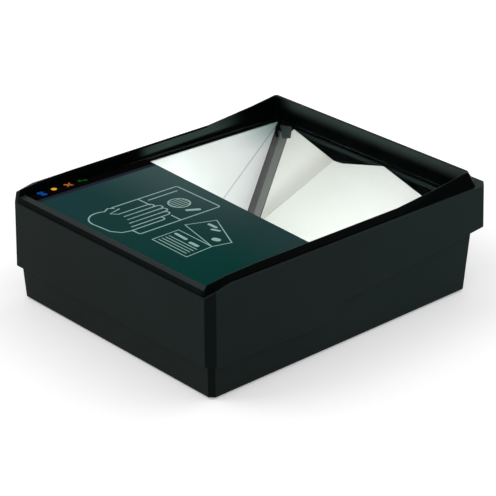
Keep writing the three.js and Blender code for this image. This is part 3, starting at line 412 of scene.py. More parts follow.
# %% Moulded plastics
rubbed_reach = 0.8 * MM


def moulded(name, base, roughness, grain_mm, depth_mm, mottle=0.15, wear=0.4, dusty=0.06, gloss=0.3):
    """A moulded plastic or rubber finish."""
    shader = start_finish(name)
    skin = grained(base, mottle, roughness, grain_mm, depth_mm)
    worn = mask_of(rubbed, wear, radius=rubbed_reach)
    lighter = tuple(part * 2.2 + 0.012 for part in base)
    settled = mask_of(dust, dusty)
    dull = calc("ADD", skin["Roughness"], calc("MULTIPLY", settled, 0.6), clamp=True)
    apply_skin(shader, skin, {
        "Base Color": dusted(blend(worn, skin["Color"], lighter), settled),
        "Roughness": dull, "Specular IOR Level": gloss,
    })
    return shader


case_shader = moulded("case_black", (0.0098, 0.015, 0.0142), 0.46, 0.35, 0.012, dusty=0.02, gloss=0.03)
moulded("bezel_black", (0.0085, 0.0128, 0.0124), 0.3, 0.25, 0.004, dusty=0.015, gloss=0.08)
# Painted shade: the plate that carries the rear panels is made nearly black, standing in for the shade
# behind them.
moulded("bracket_painted_shade", (0.0006, 0.0011, 0.0011), 0.5, 0.4, 0.006, wear=0, dusty=0, gloss=0.01)
moulded("tab_grey", (0.025, 0.041, 0.038), 0.45, 0.3, 0.004, dusty=0)
moulded("black_plastic", (0.01, 0.011, 0.012), 0.5, 0.4, 0.01, gloss=0.08)
moulded("rubber_black", (0.012, 0.012, 0.012), 0.85, 0.6, 0.03, mottle=0.25, gloss=0.2)
moulded("gasket_black", (0.002, 0.002, 0.002), 0.8, 0.6, 0.01, wear=0, dusty=0, gloss=0.05)
moulded("button_grey", (0.03, 0.032, 0.034), 0.4, 0.3, 0.008)
moulded("printed_ink", (0.3, 0.47, 0.435), 0.5, 0.3, 0.002, mottle=0.1, wear=0, dusty=0, gloss=0.05)

# %% Painted light on the case: a slow change of tone, and painted shade on its upright corners
near_end, far_end = (0, -94 * MM, 0), (77 * MM, 94 * MM, 0)

opened.append(case_shader.id_data)
# Painted light: the case turns lighter and greener towards its far right corner.
painted_light_toward_far = eased(along(near_end, far_end), 0.15, 0.9)
painted_light_tint = blend(painted_light_toward_far, WHITE, (1.15, 1.42, 1.4))
tone = calc_vectors("MULTIPLY", tone_of(case_shader), painted_light_tint)
# Painted shade: the four upright chamfered corners are darkened towards black.
facing = parts_of(put("ShaderNodeTexCoord").outputs["Normal"])
diagonal = calc("ABSOLUTE", calc("MULTIPLY", facing["X"], facing["Y"]))
painted_corner_shade = eased(diagonal, 0.3, 0.48, 0, 0.62)
give(case_shader, {"Base Color": blend(painted_corner_shade, tone, BLACK)})
print("corners are darkened")

# %% The rim's painted light and painted shade
painted_rim_shade = (0.0005, 0.001, 0.001)


def painted_light_rim(name, light, *masks):
    """The rim's plastic with painted light inside all masks (axis, low, high) and painted shade, nearly
    black, elsewhere.
    """
    shader = moulded(name, light, 0.4, 0.25, 0.002, mottle=0.08, wear=0, dusty=0, gloss=0.01)
    lit = 1
    for mask in masks:
        lit = calc("MULTIPLY", lit, on_axis(*mask))
    give(shader, {"Base Color": blend(lit, painted_rim_shade, tone_of(shader))})


# Painted shade on the outer slopes, nearly black towards the right outer edge; painted light on the upper
# inner faces away from the left end; a painted reflection of the white box on the left rim, dark at its
# foot and its ends.
painted_light_rim("bezel_outer_painted_shade", (0.0042, 0.0066, 0.0063), (ACROSS, 74, 66))
painted_light_rim("bezel_inner_painted_light", (0.029, 0.042, 0.039), (UP, 58, 65.5), (ACROSS, -70, -54))
painted_light_rim("bezel_left_painted_reflection", (0.03, 0.047, 0.043), (UP, 56.2, 57.6), (BACK, -17, -7), (BACK, 60, 34))

# %% [markdown]
# ## White sheets of the light box
# The inside of the box is folded from thin white sheet, so that the lamps light the passport evenly.
# The sheet isn't quite white, and its tones are painted light and shade: the left wall is painted
# bluish, as the room's light makes it, lighter towards the rear, with a painted shadow of the rim and a
# painted dark fold line; the rear panels are painted warmer and darker towards the fold between them,
# and darker at the left. These slow changes follow the wall itself, so they are worked out from the
# distance to a line across the wall.

# %% One white sheet
def white_sheet(name, base, painted_shade=None, painted_shade_mask=None):
    """A matt sheet that turns from base to a painted shade colour where the given mask rises to 1."""
    shader = start_finish(name)
    tone = blend(painted_shade_mask(), base, painted_shade) if painted_shade_mask else base
    skin = grained(tone, 0.035, 0.55, 0.5, 0.006)
    tone = dusted(skin["Color"], mask_of(dust, 0.05))
    apply_skin(shader, skin, {"Base Color": tone, "Specular IOR Level": 0.25})
    return shader


print("sheets can be made")

# %% The left wall with its fold line, painted light and painted shade
fold_front = Vector((-63.1, 36.1, 19.8)) * MM
fold_rear = Vector((-68.8, 76, 45.8)) * MM
fold_width = 0.25 * MM


def painted_fold_shade():
    """1 on the thin fold line that climbs the left wall, seen square to the wall: the line of painted
    shade.
    """
    run = fold_rear - fold_front
    off_line = Vector((0, -run.z, run.y)).normalized()
    offset = calc_vectors("DOT_PRODUCT", object_place(), tuple(off_line))
    away = calc("ABSOLUTE", calc("SUBTRACT", offset, off_line.dot(fold_front)))
    return eased(away, fold_width, 2 * fold_width, 1, 0)


# The wall's bluish white is painted light of the room, and the fold line is painted darker.
wall_shader = white_sheet("left_wall_white", (0.84, 0.9, 0.89), (0.5, 0.58, 0.56), painted_fold_shade)
sheet_tone = tone_of(wall_shader)
# Painted light makes the wall lighter towards the rear, and a painted shadow of the rim darkens its rear
# top.
painted_light_toward_rear = on_axis(BACK, 20, 66)
painted_rim_shadow = calc("MULTIPLY", on_axis(UP, 36, 51), on_axis(BACK, 40, 80))
painted_light_tint = blend(painted_light_toward_rear, WHITE, (1.14, 1.1, 1.12))
painted_light_tint = blend(painted_rim_shadow, painted_light_tint, (0.5, 0.64, 0.63))
give(wall_shader, {"Base Color": calc_vectors("MULTIPLY", sheet_tone, painted_light_tint)})
white_sheet("white_plastic", (0.82, 0.86, 0.83))
print("fold line in mm:", [round(x / MM, 1) for x in (*fold_front, *fold_rear)])

# %% The two rear panels, with painted shade
fold_foot = Vector((-49, 50, 6)) * MM
fold_head = Vector((-20, 78, 44)) * MM
off_fold = Vector((0.852, -0.309, -0.422))


def painted_shade_beside_fold():
    """Painted shade, a warm grey, that grows towards the fold with the white panel."""
    middle = (fold_foot + fold_head) / 2
    return eased(along(middle - off_fold * 16 * MM, middle - off_fold * 2 * MM))


def painted_shade_at_left():
    """Painted shade: a little darker at the left, beside the cream panel."""
    return on_axis(ACROSS, -30, 40, 1, 0)


white_sheet("cream_sheet", (0.75, 0.78, 0.73), (0.53, 0.545, 0.5), painted_shade_beside_fold)
white_sheet("rear_white", (0.83, 0.86, 0.84), (0.66, 0.7, 0.66), painted_shade_at_left)
print("fold runs from", [round(x / MM) for x in fold_foot], "to", [round(x / MM) for x in fold_head])

# %% The corner post, its two long halves painted as the lit and the shaded side of a fold
wall_foot, wall_head = Vector((0, 49.8, 5.5)) * MM, Vector((0, 82.7, 50.4)) * MM
post_foot, post_head = Vector((-55.1, 50, 6)) * MM, Vector((-64.1, 80, 46.9)) * MM
wall_normal = ACROSS.cross(wall_head - wall_foot).normalized()
post_across = (post_head - post_foot).cross(wall_normal).normalized()
if post_across.x < 0:
    post_across.negate()
painted_fold_blur = post_across * 0.6 * MM

shader = start_finish("grey_plastic")
# Painted light and shade: the right half is painted light grey and the left half a darker purple grey;
# the sheet itself stays flat.
painted_lit_half = eased(along(post_foot - painted_fold_blur, post_foot + painted_fold_blur))
tone = blend(painted_lit_half, (0.062, 0.06, 0.062), (0.145, 0.158, 0.151))
apply_skin(shader, grained(tone, 0.1, 0.45, 0.3, 0.006), {"Specular IOR Level": 0.3})
print("post folds across", [round(x, 2) for x in post_across])

# %% [markdown]
# ## Metals, boards and ribbons
# What carries and drives the optics is seen only through the glass or with the case open, and still
# every piece has its own finish: brushed steel and aluminium, green boards with their tracks and tinned
# pads, and flat grey ribbons with a line for each wire.

# %% Metals
def brushed_metal(name, base, roughness, strokes=(1, 1, 26)):
    """Metal with fine strokes; strokes is how much finer the pattern is along X, Y and Z."""
    shader = start_finish(name)
    stretched = put("ShaderNodeMapping", {"Vector": object_place(), "Scale": strokes})
    hair = noise(320, 4, stretched.outputs[0])
    darker = tuple(part * 0.72 for part in base)
    bright = tuple(min(1, part * 1.3) for part in base)
    skin = grained(blend(hair, darker, base), 0.12, roughness)
    worn = mask_of(rubbed, 0.35, radius=0.4 * MM)
    apply_skin(shader, skin, {
        "Base Color": blend(worn, skin["Color"], bright), "Metallic": 1,
        "Normal": relief(hair, 0.01 * MM),
    })


brushed_metal("bright_steel", (0.62, 0.63, 0.64), 0.3)
brushed_metal("dark_steel", (0.1, 0.102, 0.105), 0.4)
brushed_metal("bare_aluminium", (0.56, 0.57, 0.58), 0.42, strokes=(1, 18, 1))

# %% Circuit boards
solder_tin = (0.6, 0.6, 0.57)

shader = start_finish("green_board")
spot = object_place()
tracks = put("ShaderNodeTexBrick", {
    "Vector": spot, "Scale": 150, "Mortar Size": 0.07, "Brick Width": 0.9, "Row Height": 0.35,
    "Color1": BLACK, "Color2": BLACK, "Mortar": WHITE,
}).outputs["Color"]
pads = put("ShaderNodeTexVoronoi", {"Vector": spot, "Scale": 300, "Randomness": 0.35})
round_pad = eased(pads.outputs["Distance"], 0.16, 0.2, 1, 0)
tinned = calc("MULTIPLY", round_pad, eased(noise(60), 0.55, 0.6))
lacquer = blend(tracks, (0.008, 0.07, 0.03), (0.02, 0.13, 0.06))
skin = grained(lacquer, 0.12, 0.36)
give(shader, {
    "Base Color": blend(tinned, skin["Color"], solder_tin),
    "Roughness": skin["Roughness"], "Metallic": tinned,
})

# %% Flat ribbons
wire_pitch = 1 * MM

shader = start_finish("grey_ribbon")
wires = put("ShaderNodeTexWave", {
    "Vector": object_place(), "Scale": 1 / wire_pitch / 20, "Distortion": 0,
}, bands_direction="DIAGONAL").outputs["Fac"]
tone = blend(wires, (0.34, 0.35, 0.37), (0.56, 0.57, 0.59))
apply_skin(shader, grained(tone, 0.08, 0.45), {"Normal": relief(wires, 0.15 * MM)})

# %% [markdown]
# ## Glass, films and lights
# The window is a plate of clear glass. From above it is nearly invisible, it mirrors the room at a low
# angle, and its cut edge is a very dark green, so the finish works with transparency: Fresnel decides
# how much of the surface shows. The smoked band and the printed panel are films that lie on the glass.

# %% Clear glass
face_tone, edge_tone = (0.02, 0.028, 0.026), (0.003, 0.008, 0.007)
edge_share = 0.85

shader = start_finish("clear_glass")
mirrored = put("ShaderNodeFresnel", {"IOR": 1.45}).outputs[0]
upward = parts_of(put("ShaderNodeNewGeometry").outputs["Normal"])["Z"]
on_edge = eased(calc("ABSOLUTE", upward), 0.4, 0.8, 1, 0)
marks = mask_of(hairlines, 0.05)
motes = mask_of(dust, 0.02)
film = calc("MULTIPLY_ADD", mirrored, 0.12, 0.004)
film = calc("ADD", film, calc("ADD", marks, motes))
give(shader, {
    "Alpha": calc("MAXIMUM", film, calc("MULTIPLY", on_edge, edge_share)),
    "Base Color": blend(on_edge, face_tone, edge_tone),
    "Roughness": calc("MULTIPLY_ADD", marks, 2, 0.02), "Specular IOR Level": 0.3,
})

# %% The smoked band
shader = start_finish("smoked_film")
skin = grained((0.0016, 0.0016, 0.0018), 0.2, 0.2, depth_mm=0.001)
marks = mask_of(hairlines, 0.12)
apply_skin(shader, skin, {
    "Base Color": dusted(skin["Color"], mask_of(dust, 0.006)),
    "Roughness": calc("ADD", skin["Roughness"], marks, clamp=True), "Specular IOR Level": 0,
})

# %% The printed panel's ground, with a painted reflection and a painted sheen
(panel_left, panel_front, _), (panel_right, panel_rear, _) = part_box("label_panel")
strip_end = 2.9 * MM / (panel_right - panel_left)
strip_blur = 0.002
strip_tone = (0.017, 0.02, 0.033)

shader = start_finish("teal_film")
rearward = along(BACK * panel_front, BACK * panel_rear)
rightward = along(ACROSS * panel_left, ACROSS * panel_right)
waver = calc("MULTIPLY", calc("SUBTRACT", noise(14), 0.5), 0.2)
waved = calc("ADD", rightward, waver)
# Painted reflection: the teal is painted greener towards the front right, and a painted sheen makes it
# lighter and bluer towards the rear left.
painted_front_reflection = blend(eased(waved, 0.1, 0.95), (0.0131, 0.0488, 0.05), (0.0045, 0.0445, 0.0385))
painted_rear_sheen = blend(eased(waved, 0.15, 0.8), (0.05, 0.093, 0.093), (0.022, 0.052, 0.052))
painted_sheen_share = eased(calc("ADD", rearward, waver), 0.3, 1)
tone = blend(painted_sheen_share, painted_front_reflection, painted_rear_sheen)
strip_share = eased(rightward, strip_end - strip_blur, strip_end, 1, 0)
skin = grained(blend(strip_share, tone, strip_tone), 0.06, 0.42, 0.2, 0.002)
tone = dusted(skin["Color"], mask_of(dust, 0.004))
apply_skin(shader, skin, {"Base Color": tone, "Specular IOR Level": 0})
print("panel in mm:", [round(x / MM, 1) for x in (panel_left, panel_right, panel_front, panel_rear)])

# %% Mirror, lens, light guides and light bars
bar_strength = 3

shader = start_finish("mirror_glass")
settled = mask_of(dust, 0.08)
give(shader, {
    "Base Color": dusted((0.88, 0.9, 0.89), settled), "Metallic": 1,
    "Roughness": calc("MULTIPLY_ADD", settled, 1.5, 0.02),
})

shader = start_finish("lens_glass")
# Painted reflection: the lens turns purple towards its rim at a glancing view, as its coating reflects.
painted_coating_sheen = put("ShaderNodeLayerWeight", {"Blend": 0.4}).outputs["Facing"]
give(shader, {
    "Base Color": blend(painted_coating_sheen, (0.004, 0.006, 0.012), (0.05, 0.02, 0.09)),
    "Roughness": calc("ADD", mask_of(dust, 0.04), 0.02), "Coat Weight": 1,
})

shader = start_finish("light_guide")
cloudy = grained((0.8, 0.83, 0.83), 0.06, 0.12)
apply_skin(shader, cloudy, {"Transmission Weight": 0.6})

shader = start_finish("light_bar")
phosphor = grained((0.85, 0.8, 0.45), 0.2, 0.5)
apply_skin(shader, phosphor, {"Emission Color": phosphor["Color"], "Emission Strength": bar_strength})

# %% The signs that shine through the smoked band
unlit = (0.002, 0.002, 0.002)


def glowing(name, core, edge):
    """A shining sign whose light is uneven, from core to edge."""
    shader = start_finish(name)
    tone = blend(eased(noise(700), 0.35, 0.7), core, edge)
    give(shader, {
        "Base Color": unlit, "Specular IOR Level": 0, "Emission Color": tone, "Emission Strength": 1,
    })


glowing("blue_glow", (0.001, 0.085, 0.4), (0.001, 0.03, 0.14))
glowing("orange_glow", (1, 0.5, 0.03), (0.5, 0.2, 0.012))
glowing("red_glow", (0.6, 0.16, 0.015), (0.2, 0.045, 0.008))
glowing("green_glow", (0.001, 0.13, 0.01), (0.001, 0.05, 0.005))
print("finishes:", len(finishes))

# %% [markdown]
# ## Dressing the frame
# Most pieces already have their right shape, so each only takes its finish. The list goes by finish,
# in the words of the parts list. A piece that comes in numbers is written once, without its number.

# %% A finish for every piece of the frame
dressed = {
    "case_black": "base_tray top_cover",
    "bezel_black": "bezel_frame",
    "rubber_black": "foot",
    "gasket_black": "glass_gasket",
    "clear_glass": "window_glass",
    "smoked_film": "indicator_band",
    "teal_film": "label_panel",
    "light_guide": "light_guide",
    "green_board": "indicator_board antenna_board camera_board main_board rear_board",
    "left_wall_white": "left_reflector",
    "white_plastic": "right_reflector floor_reflector front_reflector",
    "rear_white": "white_reflector",
    "cream_sheet": "cream_reflector",
    "grey_plastic": "corner_post",
    "black_plastic":
        "post_hook left_mirror_rail right_mirror_rail processor buzzer power_socket power_switch",
    "bracket_painted_shade": "rear_bracket",
    "mirror_glass": "floor_mirror",
    "light_bar": "left_light_bar right_light_bar",
    "dark_steel": "camera_bracket lens_barrel lens_ring lock_plate case_screw",
    "bright_steel": "camera_screw board_screw rear_screw usb_socket",
    "lens_glass": "front_lens",
    "bare_aluminium": "heat_sink",
    "grey_ribbon": "camera_ribbon rear_ribbon",
    "button_grey": "power_button",
}
finish_of = {name: finish for finish, names in dressed.items() for name in names.split()}
for node, piece in nodes.items():
    piece.data.materials.clear()
    piece.data.materials.append(finishes[finish_of[node.rstrip("_1234")]])
print("dressed:", len(nodes), "pieces in", len(dressed), "finishes")

# %% [markdown]
# ## Tools for modelled pieces
# The frame's shells are flat-faced with sharp edges, and no moulded case is: every outer edge of the
# real one is rounded a little, and that thin bright or dark line tells the eye that it is plastic.
# Each visible shell is therefore copied, its loose triangles are merged, the edges are picked by their
# place, and the bevel tool rounds them. A few small helpers keep those steps short.

# %% Pick one piece, or some points, edges or faces of it
def mode(name):
    """Changes to OBJECT or EDIT mode."""
    if bpy.context.mode.startswith("EDIT") != (name == "EDIT"):
        bpy.ops.object.mode_set(mode=name)


def only(piece):
    """Leaves this piece selected and active, and nothing else."""
    mode("OBJECT")
    bpy.ops.object.select_all(action="DESELECT")
    piece.select_set(True)
    bpy.context.view_layer.objects.active = piece


def pick(piece, kind, wanted):
    """Selects the VERTs, EDGEs or FACEs that wanted is true for, in edit mode; returns how many."""
    only(piece)
    mode("EDIT")
    bpy.ops.mesh.select_mode(type=kind)
    bpy.ops.mesh.select_all(action="DESELECT")
    mesh = bmesh.from_edit_mesh(piece.data)
    parts = {"VERT": mesh.verts, "EDGE": mesh.edges, "FACE": mesh.faces}[kind]
    picked = [part for part in parts if wanted(part)]
    for part in picked:
        part.select_set(True)
    bmesh.update_edit_mesh(piece.data)
    return len(picked)


def weld(distance):
    """In edit mode, selects the whole piece and merges points closer than distance in mm."""
    bpy.ops.mesh.select_all(action="SELECT")
    bpy.ops.mesh.remove_doubles(threshold=distance * MM)


print("picking is ready")

# %% Copy a piece of the frame
def named(name):
    """Gives the active piece and its mesh their name."""
    piece = bpy.context.object
    piece.name = piece.data.name = name
    return piece


def duplicated(source, name):
    """A copy of a piece with a mesh of its own."""
    only(source)
    bpy.ops.object.duplicate()
    return named(name)


def merged_copy(name, source):
    """A copy of a frame piece, its loose triangles joined into clean faces."""
    piece = duplicated(nodes[source], name)
    for key in [key for key in piece.keys() if key.startswith("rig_")]:
        del piece[key]
    bpy.ops.object.parent_clear(type="CLEAR_KEEP_TRANSFORM")
    mode("EDIT")
    weld(0.001)
    bpy.ops.mesh.dissolve_limited(angle_limit=math.radians(0.3))
    mode("OBJECT")
    bpy.ops.mesh.customdata_custom_splitnormals_clear()
    return piece


def box_of(node):
    """The low and the high corner of a frame piece, in mm."""
    return [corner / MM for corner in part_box(node)]


def middle_of(node):
    """The middle of a frame piece's box, in mm."""
    low, high = box_of(node)
    return (low + high) / 2


print("copying is ready")

# %% Round the edges that a rule picks
def round_edges(piece, wanted, width, segments=2, least=50):
    """Bevels the convex edges sharper than least degrees for which wanted(middle, run) is true."""
    def fits(edge):
        if not (edge.is_manifold and edge.is_convex and edge.calc_face_angle() > math.radians(least)):
            return False
        start, end = (point.co for point in edge.verts)
        return wanted((start + end) / 2 / MM, (end - start).normalized())

    count = pick(piece, "EDGE", fits)
    bpy.ops.mesh.bevel(offset=width * MM, segments=segments, affect="EDGES", clamp_overlap=True)
    mode("OBJECT")
    return count


print("bevelling is ready")

# %% Finish a modelled piece and put it in its place
smooth_below = math.radians(35)


def settle(piece, finish, node=None, body="case"):
    """Shades the piece, finishes it, hangs it on the body it moves with and hides the frame piece it
    replaces.
    """
    only(piece)
    bpy.ops.object.transform_apply(location=True, rotation=True, scale=True)
    bpy.ops.object.shade_smooth_by_angle(angle=smooth_below)
    weights = piece.modifiers.new("flat_faces_stay_flat", "WEIGHTED_NORMAL")
    weights.keep_sharp = True
    bpy.ops.object.modifier_apply(modifier=weights.name)
    piece.data.materials.clear()
    piece.data.materials.append(finishes[finish])
    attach(piece, body)
    if node:
        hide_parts(node)
    print(piece.name, "faces:", len(piece.data.polygons))


def rounded_shell(node, finish, *rules):
    """A finished copy of a frame shell, its edges rounded by rules for round_edges."""
    shell = merged_copy(f"{node}_shell", node)
    counts = [round_edges(shell, *rule) for rule in rules]
    print("rounded edges:", counts)
    settle(shell, finish, node)


def second_finish(piece, finish, wanted):
    """Adds a finish and puts it on the faces for which wanted(middle, normal) is true."""
    piece.data.materials.append(finishes[finish])
    count = pick(piece, "FACE", lambda face: wanted(face.calc_center_median() / MM, face.normal))
    piece.active_material_index = len(piece.data.materials) - 1
    bpy.ops.object.material_slot_assign()
    mode("OBJECT")
    return count


print("pieces can be settled")

# %% [markdown]
# ## The cover
# The cover is the wide upper case. Its top edge has the largest rounding, about a millimetre, because a
# hand rests there. The four upright corners are cut flat and only eased, and the lower edge, which
# steps up half way back, has just the small radius that a mould leaves.

# %% Round the cover
cover_half, cover_depth_half, _ = box_of("top_cover")[1]
skin_depth, corner_cut, corner_skin = 1.3, 4, 1.8
corner_reach = cover_half + cover_depth_half - corner_cut - corner_skin
cover_top = 48


def on_skin(middle):
    """True on the outside of the cover, corners included."""
    outside = abs(middle.x) > cover_half - skin_depth or abs(middle.y) > cover_depth_half - skin_depth
    return outside or abs(middle.x) + abs(middle.y) > corner_reach


def upright(run):
    """True for an edge that climbs."""
    return abs(run.z) > 0.9


rounded_shell(
    "top_cover", "case_black",
    (lambda m, r: on_skin(m) and upright(r), 0.35, 2, 12),
    (lambda m, r: on_skin(m) and not upright(r) and m.z > cover_top, 0.9, 3, 30),
    (lambda m, r: on_skin(m) and not upright(r) and m.z < cover_top, 0.35),
)

# %% [markdown]
# ## The base tray
# The narrower lower case stands back under the cover. Its lower edge is rounded, and so are the mouths
# of the sockets at the back and the recesses, screw holes and vents underneath.

# %% Round the base tray
base_low, _ = box_of("base_tray")
underside = base_low.z + 0.1
side_line, front_line = 72, base_low.y + 2
wall_foot_y, wall_lean, wall_skin = 83.2, 0.0925, 0.4
mouths_end, mouths_top = 68, 26


def under_edge(middle, _):
    """True on the outline of the underside."""
    at_side = abs(middle.x) > side_line or middle.y < front_line or middle.y > wall_foot_y - 1.2
    return middle.z < underside and at_side


def rear_mouth(middle, _):
    """True on the outer edge of an opening in the rear wall."""
    wall_y = wall_foot_y + wall_lean * (middle.z - base_low.z)
    in_row = base_low.z + 2 < middle.z < mouths_top and abs(middle.x) < mouths_end
    return in_row and middle.y > wall_y - wall_skin


rounded_shell(
    "base_tray", "case_black",
    (under_edge, 0.8, 3, 30),
    (lambda m, r: m.z < underside and not under_edge(m, r), 0.3),
    (rear_mouth, 0.3),
)

# %% [markdown]
# ## The bezel frame
# The raised rim is a separate frame. Its crown and outer edges have a fine radius that catches a thin
# line of light. Its faces carry painted light and shade in copies of its finish: a painted reflection
# of the white box on the left rim beside the window; on the other inner faces painted light above and
# painted shade below; and painted shade, nearly black, on the outer slopes. All of these are matt, and
# the crown has the satin of the mould.

# %% Round the bezel frame
rim_foot = 54
rim_width, rim_length_half = 7, 84


def outward(middle, normal):
    """How far the two level parts of a normal point away from the middle of the case."""
    return [math.copysign(part, part * place) for part, place in zip(normal[:2], middle)]


def left_face(middle, normal):
    """True for the left rim's crown and the face that looks at the window."""
    on_rim = middle.x < rim_width - cover_half and abs(middle.y) < rim_length_half
    return on_rim and middle.z > rim_foot and max(normal.x, normal.z) > 0.8


def inner_face(middle, normal):
    """True for the other faces that look at the window."""
    return middle.z > rim_foot and min(outward(middle, normal)) < -0.6


def outer_slope(middle, normal):
    """True for the faces that lean outward, and for what lies under the rim."""
    return middle.z < rim_foot or max(outward(middle, normal)) > 0.3


rim = merged_copy("bezel_rim", "bezel_frame")
count = round_edges(rim, lambda m, r: m.z > rim_foot, 0.22, 2, 20)
settle(rim, "bezel_black", "bezel_frame")
# The outer slopes, the inner faces and the left rim take the copies of the finish with painted shade,
# painted light and a painted reflection.
picked = [second_finish(rim, finish, wanted) for finish, wanted in (
    ("bezel_outer_painted_shade", outer_slope), ("bezel_inner_painted_light", inner_face), ("bezel_left_painted_reflection", left_face),
)]
print("rounded edges of the bezel:", count, "faces outside, inside and left:", picked)

# %% [markdown]
# ## Round pieces
# Feet, screws and the power button are all turned shapes. Each is drawn as half a section, point by
# point, and spun once round its axis. The seam and the poles are then merged and the normals made to
# point outward.

# %% Draw lines of edges
def trace(points):
    """In edit mode, draws edges through the points, one extrusion after the other."""
    bpy.ops.mesh.primitive_plane_add(size=MM, location=(0, 0, 0))
    bpy.ops.mesh.merge(type="CENTER")
    bpy.ops.transform.translate(value=points[0])
    for start, end in zip(points, points[1:]):
        bpy.ops.mesh.extrude_region_move(TRANSFORM_OT_translate={"value": tuple(end - start)})


def new_drawing(name, lines):
    """A new piece with a line of edges for each list of points, all selected in edit mode."""
    mode("OBJECT")
    bpy.ops.object.select_all(action="DESELECT")
    bpy.ops.mesh.primitive_plane_add(size=MM, location=(0, 0, 0))
    piece = named(name)
    mode("EDIT")
    bpy.ops.mesh.select_mode(type="VERT")
    bpy.ops.mesh.select_all(action="SELECT")
    bpy.ops.mesh.delete(type="VERT")
    for points in lines:
        trace(points)
    weld(0.01)
    return piece


print("drawing is ready")

# %% Spin a line round an axis, and repeat the piece
def spun(name, profile, centre, axis, steps=48):
    """Spins a profile of (radius, height) in mm round the axis through centre."""
    points = [(centre + ACROSS * radius + axis * height) * MM for radius, height in profile]
    piece = new_drawing(name, [points])
    bpy.ops.mesh.spin(steps=steps, angle=math.tau, center=tuple(centre * MM), axis=tuple(axis))
    weld(0.002)
    bpy.ops.mesh.normals_make_consistent(inside=False)
    mode("OBJECT")
    return piece


def under_middle(node):
    """The middle of a frame piece's underside, in mm."""
    middle = middle_of(node)
    middle.z = box_of(node)[0].z
    return middle


def in_every_place(first, name, node, finish):
    """Copies the first piece to the places of the frame's four, and settles them all."""
    members = [f"{node}_{k}" for k in (1, 2, 3, 4)]
    pieces = [first]
    for k, member in enumerate(members[1:]):
        pieces.append(duplicated(first, f"{name}_{k + 2}"))
        shift = middle_of(member) - middle_of(members[0])
        bpy.ops.transform.translate(value=tuple(shift * MM))
    for piece, member in zip(pieces, members):
        settle(piece, finish, member)


print("turning is ready")

# %% Rubber feet
foot_low, foot_high = box_of("foot_1")
foot_radius, foot_height = (foot_high.x - foot_low.x) / 2, foot_high.z
dish_radius, dish_depth = 4.6, 0.35
foot_profile = [
    (0, dish_depth), (dish_radius - 0.7, dish_depth), (dish_radius - 0.3, 0.3), (dish_radius, 0),
    (foot_radius - 0.8, 0), (foot_radius - 0.3, 0.2), (foot_radius, 0.6),
    (foot_radius, foot_height), (0, foot_height),
]
foot = spun("rubber_foot_1", foot_profile, under_middle("foot_1"), UP)
in_every_place(foot, "rubber_foot", "foot", "rubber_black")

# %% [markdown]
# ## Case screws
# Four screws close the case from below. Each has a low round head with a cross recess. The recess is cut
# with a small cross-shaped cutter, a boolean that is applied and then thrown away.

# %% One screw with its cross, and three copies
screw_low, screw_high = box_of("case_screw_1")
screw_length = screw_high.z - screw_low.z
head_radius, head_height = (screw_high.x - screw_low.x) / 2, 1.6
shank_radius, tip_height = 1.2, 0.8
cross_long, cross_wide, cross_deep = 2.8, 0.7, 1.6
screw_profile = [
    (0, 0), (head_radius - 0.5, 0.05), (head_radius - 0.1, 0.3), (head_radius, 0.6),
    (head_radius, head_height), (shank_radius, head_height),
    (shank_radius, screw_length - tip_height), (0, screw_length),
]
screw_place = under_middle("case_screw_1")
screw = spun("cross_screw_1", screw_profile, screw_place, UP, 32)

for wide, deep in ((cross_long, cross_wide), (cross_wide, cross_long)):
    bpy.ops.mesh.primitive_cube_add(size=1, location=tuple(screw_place * MM))
    cutter = named("cross_cutter")
    cutter.scale = (wide * MM, deep * MM, cross_deep * MM)
    only(screw)
    cut = screw.modifiers.new("cross", "BOOLEAN")
    cut.operation = "DIFFERENCE"
    cut.object = cutter
    bpy.ops.object.modifier_apply(modifier=cut.name)
    only(cutter)
    bpy.ops.object.delete()

in_every_place(screw, "cross_screw", "case_screw", "dark_steel")

# %% [markdown]
# ## Power button
# The button at the back is the one piece that moves. It has a domed cap with a shallow ring, a flange
# that keeps it in the case and a stem that reaches the switch, turned as one shape. It rides on the
# button's own body.

# %% Turn the button
button_low, button_high = box_of("power_button")
button_centre = middle_of("power_button")
button_centre.y = button_low.y
button_long = button_high.y - button_low.y
flange_radius, cap_radius, stem_radius = (button_high.x - button_low.x) / 2, 4, 1.6
stem_length, flange_thick = 1.6, 1.2
flange_end = stem_length + flange_thick
cap_profile = [(0, 0.9), (0.25, 0.4), (0.8, 0.2), (1, 0.35), (1.2, 0.2), (2.4, 0.05)]
button_profile = [
    (0, 0), (stem_radius, 0), (stem_radius, stem_length), (flange_radius, stem_length),
    (flange_radius, flange_end), (cap_radius, flange_end),
    *[(cap_radius - inset, button_long - depth) for inset, depth in cap_profile], (0, button_long),
]
button = spun("power_button_cap", button_profile, button_centre, BACK)
settle(button, "button_grey", "power_button", body="button")

# %% [markdown]
# ## The printed panel
# The panel shows how to lay a passport down: an open booklet held by a hand, and two cards beside it.
# The drawing is a plain one of its own. On the real film the ink stands a hair above the ground, so the
# lines are drawn as edges, made a round curve of the line's width and pressed flat. Everything is drawn
# level and then tilted onto the glass, which rises a little towards the front.

# %% Printed lines
ink_relief = 0.16


def arc(x, y, radius, start, end, steps=8):
    """Points on an arc, with its angles in degrees."""
    angles = [math.radians(start + (end - start) * k / steps) for k in range(steps + 1)]
    return [(x + radius * math.cos(a), y + radius * math.sin(a)) for a in angles]


def loop(*points):
    """The points with the first one again at the end."""
    return [*points, points[0]]


def wire(name, lines, width):
    """Lines of edges made a round wire."""
    new_drawing(name, lines)
    mode("OBJECT")
    bpy.ops.object.convert(target="CURVE")
    stroke = bpy.context.object.data
    stroke.bevel_depth = width / 2 * MM
    stroke.bevel_resolution = 1
    stroke.use_fill_caps = True
    bpy.ops.object.convert(target="MESH")
    return named(name)


